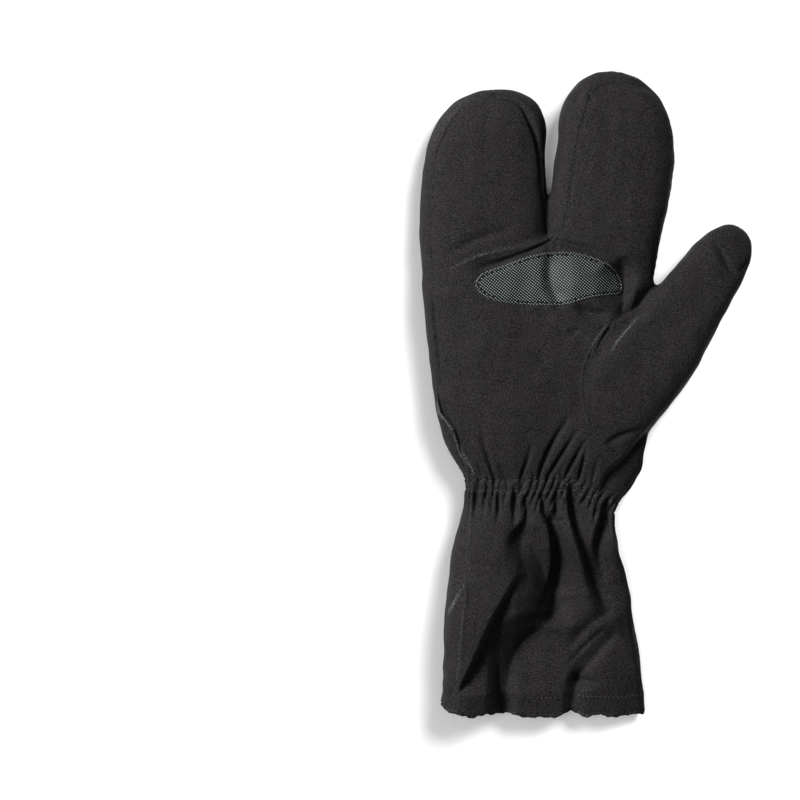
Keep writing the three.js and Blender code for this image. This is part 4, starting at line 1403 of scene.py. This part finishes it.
patch = {
    "outline": [
        (-60.2, 58.9), (-58.8, 62.4), (-55.3, 65.4), (-45.2, 68.7), (-36.1, 72.2), (-26.5, 75),
        (-19.6, 75.8), (-12.4, 76.1), (-5.2, 75.4), (0.9, 73.9), (6.8, 71.8), (12.7, 69), (16.4, 65.6),
        (18.7, 61.9), (19.7, 58.1), (19.1, 55), (17.2, 53.1), (12.7, 52.7), (3.9, 51.8), (-2.2, 50.2),
        (-7.6, 48.5), (-14.8, 46.8), (-23.1, 47.1), (-29.2, 47.1), (-38, 47.7), (-45.2, 48.7),
        (-50.5, 49.9), (-54.3, 51.7), (-57.5, 54.1), (-59.6, 56.5),
    ],
    "step": 0.42, "offset": 0.45, "thickness": 0.6, "flat": (81, 30), "share": 0.79,
    "downTurn": math.radians(-38), "upTurn": math.radians(52), "evened": 10, "lowered": 0.2,
    # ridges and grooves along the edge: how far in from it, how wide, how high
    "edging": ((0.585, 0.55, 0.35), (1.5, 0.45, -0.35), (0, 0.35, -0.5)),
}
castFrom = 80  # above everything


# Where a line straight down from above meets the cloth, and which way the cloth faces there
def castDown(cloth, x, y):
    return cloth.ray_cast(Vector((x, y, castFrom)), Vector((0, 0, -1)))[:2]


def drapedPatch(outline):
    low, high = outline.min(axis=0) - 1, outline.max(axis=0) + 1
    x, y = np.meshgrid(*(np.arange(low[k], high[k], patch["step"]) for k in range(2)))
    at = np.stack([x.ravel(), y.ravel(), np.zeros(x.size)], 1)
    index = np.arange(x.size).reshape(x.shape)
    a, b = index[:-1, :-1].ravel(), index[:-1, 1:].ravel()
    c, d = index[1:, 1:].ravel(), index[1:, :-1].ravel()
    tri = np.concatenate([np.stack([a, b, c], 1), np.stack([a, c, d], 1)])
    (at, tri), _ = cutAlong((at, tri), lambda p: outlineDistance(p, outline))
    points, panel = worn["palm_panel"]
    palm = BVHTree.FromPolygons(points.tolist(), panel.tolist())
    hits = [castDown(palm, x, y)[0] for x, y in at[:, :2]]
    at[:, 2] = [hit.z if hit else math.nan for hit in hits]
    at[np.isnan(at[:, 2]), 2] = np.nanmean(at[:, 2])
    at[:, 2:3] = np.maximum(relax(at[:, 2:3], tri, patch["evened"]), at[:, 2:3] - patch["lowered"])
    fromEdge = -outlineDistance(at, outline)
    edging = (rise * ridge(fromEdge - inset, width) for inset, width, rise in patch["edging"])
    at[:, 2] += sum(edging, patch["offset"])
    return at, tri


patchOutline = rounded(patch["outline"])
points, tri = drapedPatch(patchOutline)
turns = (patch["downTurn"], patch["upTurn"])
uv = np.stack([points[:, 0] * math.cos(t) + points[:, 1] * math.sin(t) for t in turns], 1) * mm
patchPiece = addMesh("grip_patch_mesh", points, tri, uv)
addValue(patchPiece, "fromEdge", -outlineDistance(points, patchOutline))
giveThickness(patchPiece, patch["thickness"])
dress(patchPiece, "grip_patch", meshMaterial)
width, length = patch["flat"]
worn["grip_patch"] = (points, tri)
print("grip patch:", len(tri), "triangles")


# Stitches: one short bar of thread, modelled once and laid along every seam line

stitchLines = {
    # thread, the bar's length, width and height, its pitch, how far it sits over the cloth, and the
    # share of a pitch before the first bar where that isn't a half
    "lobe_stitches": {"thread": darkThread, "size": (1.2, 0.6, 0.32), "pitch": 1.9, "over": 0.05},
    "thumb_stitches": {"thread": faintThread, "size": (0.8, 0.26, 0.24), "pitch": 1.8, "over": 0.02},
    "wrist_stitches": {"thread": paleThread, "size": (0.8, 0.42, 0.4), "pitch": 1.35, "over": 0.06},
    "wrist_pit_shade": {"thread": darkThread, "size": (0.7, 0.5, 0.3), "pitch": 1.35, "over": 0.04, "first": 0},
    # dark bars laid between the pale wrist stitches: painted shade in the stitch pits
    "hem_stitches": {"thread": paleThread, "size": (1.1, 0.3, 0.26), "pitch": 2.2, "over": 0.04},
    "patch_stitches": {"thread": darkThread, "size": (1.9, 0.95, 0.5), "pitch": 2.6, "over": 0.25},
}
seamPlaces = {
    # the lobes' row runs above a height, and not along the thumb's side but round the inner lobe's tip
    "lobeInset": 0.9, "lobesAbove": -44, "sideFrom": 25, "tipFrom": 150, "patchInset": 1.7,
    "thumbPoints": 90, "wristBelow": -30, "lookAhead": 0.4,
    # the hem's row shows where the edge faces sideways or down, and in these stretches of x
    "hemFacing": 0.2, "hemFrom": -33, "hemTo": -15, "hemRightOf": -5, "shortestRun": 3,
}


def barOfThread():
    bpy.ops.object.select_all(action="DESELECT")
    bpy.ops.mesh.primitive_uv_sphere_add(segments=6, ring_count=4, radius=0.5, rotation=(0, math.pi / 2, 0))
    bar = bpy.context.object
    bpy.ops.object.transform_apply(location=False, rotation=True, scale=False)
    at = np.array([v.co[:] for v in bar.data.vertices])
    loops = []
    for face in bar.data.polygons:
        corners = list(face.vertices)
        loops += [(corners[0], corners[i], corners[i + 1]) for i in range(1, len(corners) - 1)]
    bpy.data.objects.remove(bar)
    return at, np.array(loops)


# Even steps along a line of points, with the way the line runs and the cloth's normal there
def evenSteps(line, normal, pitch, closed, first=0.5):
    if closed:
        line, normal = np.concatenate([line, line[:1]]), np.concatenate([normal, normal[:1]])
    walked = np.concatenate([[0], np.cumsum(np.linalg.norm(np.diff(line, axis=0), axis=1))])
    count = max(2, int(walked[-1] / pitch))
    even = (np.arange(count) + first) * walked[-1] / count

    def taken(values, where):
        return np.stack([np.interp(where, walked, values[:, k]) for k in range(3)], 1)

    way = taken(line, even + seamPlaces["lookAhead"]) - taken(line, even - seamPlaces["lookAhead"])
    way /= np.maximum(np.linalg.norm(way, axis=1, keepdims=True), 1e-6)
    up = taken(normal, even)
    up -= way * (up * way).sum(axis=1, keepdims=True)
    return taken(line, even), way, up / np.linalg.norm(up, axis=1, keepdims=True)


def layStitches(name, lines, closed=False):
    spec = stitchLines[name]
    bar, loops = barOfThread()
    vertices, faces = [], []
    length, width, height = spec["size"]
    along, aside = bar[:, 0] * length, bar[:, 1] * width
    rise = bar[:, 2] * height + spec["over"] - 0.5 * height * (2 * bar[:, 0]) ** 2
    for line, normal in lines:
        place, way, up = evenSteps(line, normal, spec["pitch"], closed, spec.get("first", 0.5))
        across = np.cross(up, way)
        at = place[:, None] + along[None, :, None] * way[:, None]
        at = at + aside[None, :, None] * across[:, None] + rise[None, :, None] * up[:, None]
        start = sum(len(v) for v in vertices)
        step = np.arange(len(place))[:, None, None] * len(bar)
        faces.append((loops[None] + step).reshape(-1, 3) + start)
        vertices.append(at.reshape(-1, 3))
    piece = addMesh(name, np.concatenate(vertices), np.concatenate(faces))
    dress(piece, None, spec["thread"], replaced=False)
    print(name, sum(len(f) for f in faces), "triangles")


# All the worn cloth as one, to drop lines on
def wholeGround():
    points, faces, offset = [], [], 0
    for at, tri in worn.values():
        points.append(at)
        faces.append(tri + offset)
        offset += len(at)
    return BVHTree.FromPolygons(np.concatenate(points).tolist(), np.concatenate(faces).tolist())


# Points of a flat line dropped on the worn cloth from above, with the cloth's normals
def dropped(flat):
    hits = [castDown(ground, x, y) for x, y in flat]
    return tuple(np.array([hit[k][:] for hit in hits if hit[0]]) for k in range(2))


# Where a skin's field is zero, walked once round the sleeve
def ringLine(skin, field):
    at, tri = skin
    tri = tri[at[tri[:, 0], 1] < seamPlaces["wristBelow"]]
    edges, _ = edgesOf(tri)
    height = field(at[:, :3])
    low, high = height[edges[:, 0]], height[edges[:, 1]]
    crossing = low * high < 0
    t = (low / np.where(crossing, low - high, 1))[crossing][:, None]
    a, b = edges[crossing].T
    points = at[a] * (1 - t) + at[b] * t
    points = points[np.argsort(roundTheRing(points)[0])]
    return sculpted(points[:, :3], points[:, 3:6]), points[:, 3:6]


# An outline moved inwards by an even distance
def insetLine(outline, inset):
    way = np.roll(outline, -1, axis=0) - np.roll(outline, 1, axis=0)
    way /= np.linalg.norm(way, axis=1, keepdims=True)
    return outline + inset * np.stack([way[:, 1], -way[:, 0]], 1)


def wristRow(side):
    return lambda at: side * wristField(at) - rowDistance(at, puffs(at), side > 0)


ground = wholeGround()
lobeLine = insetLine(palmOutline, seamPlaces["lobeInset"])
onTheLobes = (lobeLine[:, 0] < seamPlaces["sideFrom"]) | (lobeLine[:, 1] > seamPlaces["tipFrom"])
onTheLobes &= lobeLine[:, 1] > seamPlaces["lobesAbove"]
layStitches("lobe_stitches", [dropped(lobeLine[onTheLobes])])
layStitches("thumb_stitches", [dropped(onTheOval(np.linspace(*thumbSeamEnds, seamPlaces["thumbPoints"])))])
layStitches("patch_stitches", [dropped(insetLine(patchOutline, seamPlaces["patchInset"]))], True)
body = skins["whole"]
rows = [ringLine(body, wristRow(side)) for side in (1, -1)]
layStitches("wrist_stitches", rows, True)
# Dark bars between the pale stitches, as painted shade in the stitch pits
layStitches("wrist_pit_shade", rows, True)
hemLine, hemNormal = ringLine(body, lambda at: at[:, 1] - hem["to"])
shows = (hemLine[:, 0] > seamPlaces["hemFrom"]) & (hemLine[:, 0] < seamPlaces["hemTo"])
shows |= (hemNormal[:, 2] < seamPlaces["hemFacing"]) | (hemLine[:, 0] > seamPlaces["hemRightOf"])
runs = np.split(np.arange(len(shows)), np.flatnonzero(np.diff(shows)) + 1)
runs = [run for run in runs if shows[run[0]] and len(run) > seamPlaces["shortestRun"]]
layStitches("hem_stitches", [(hemLine[run], hemNormal[run]) for run in runs])
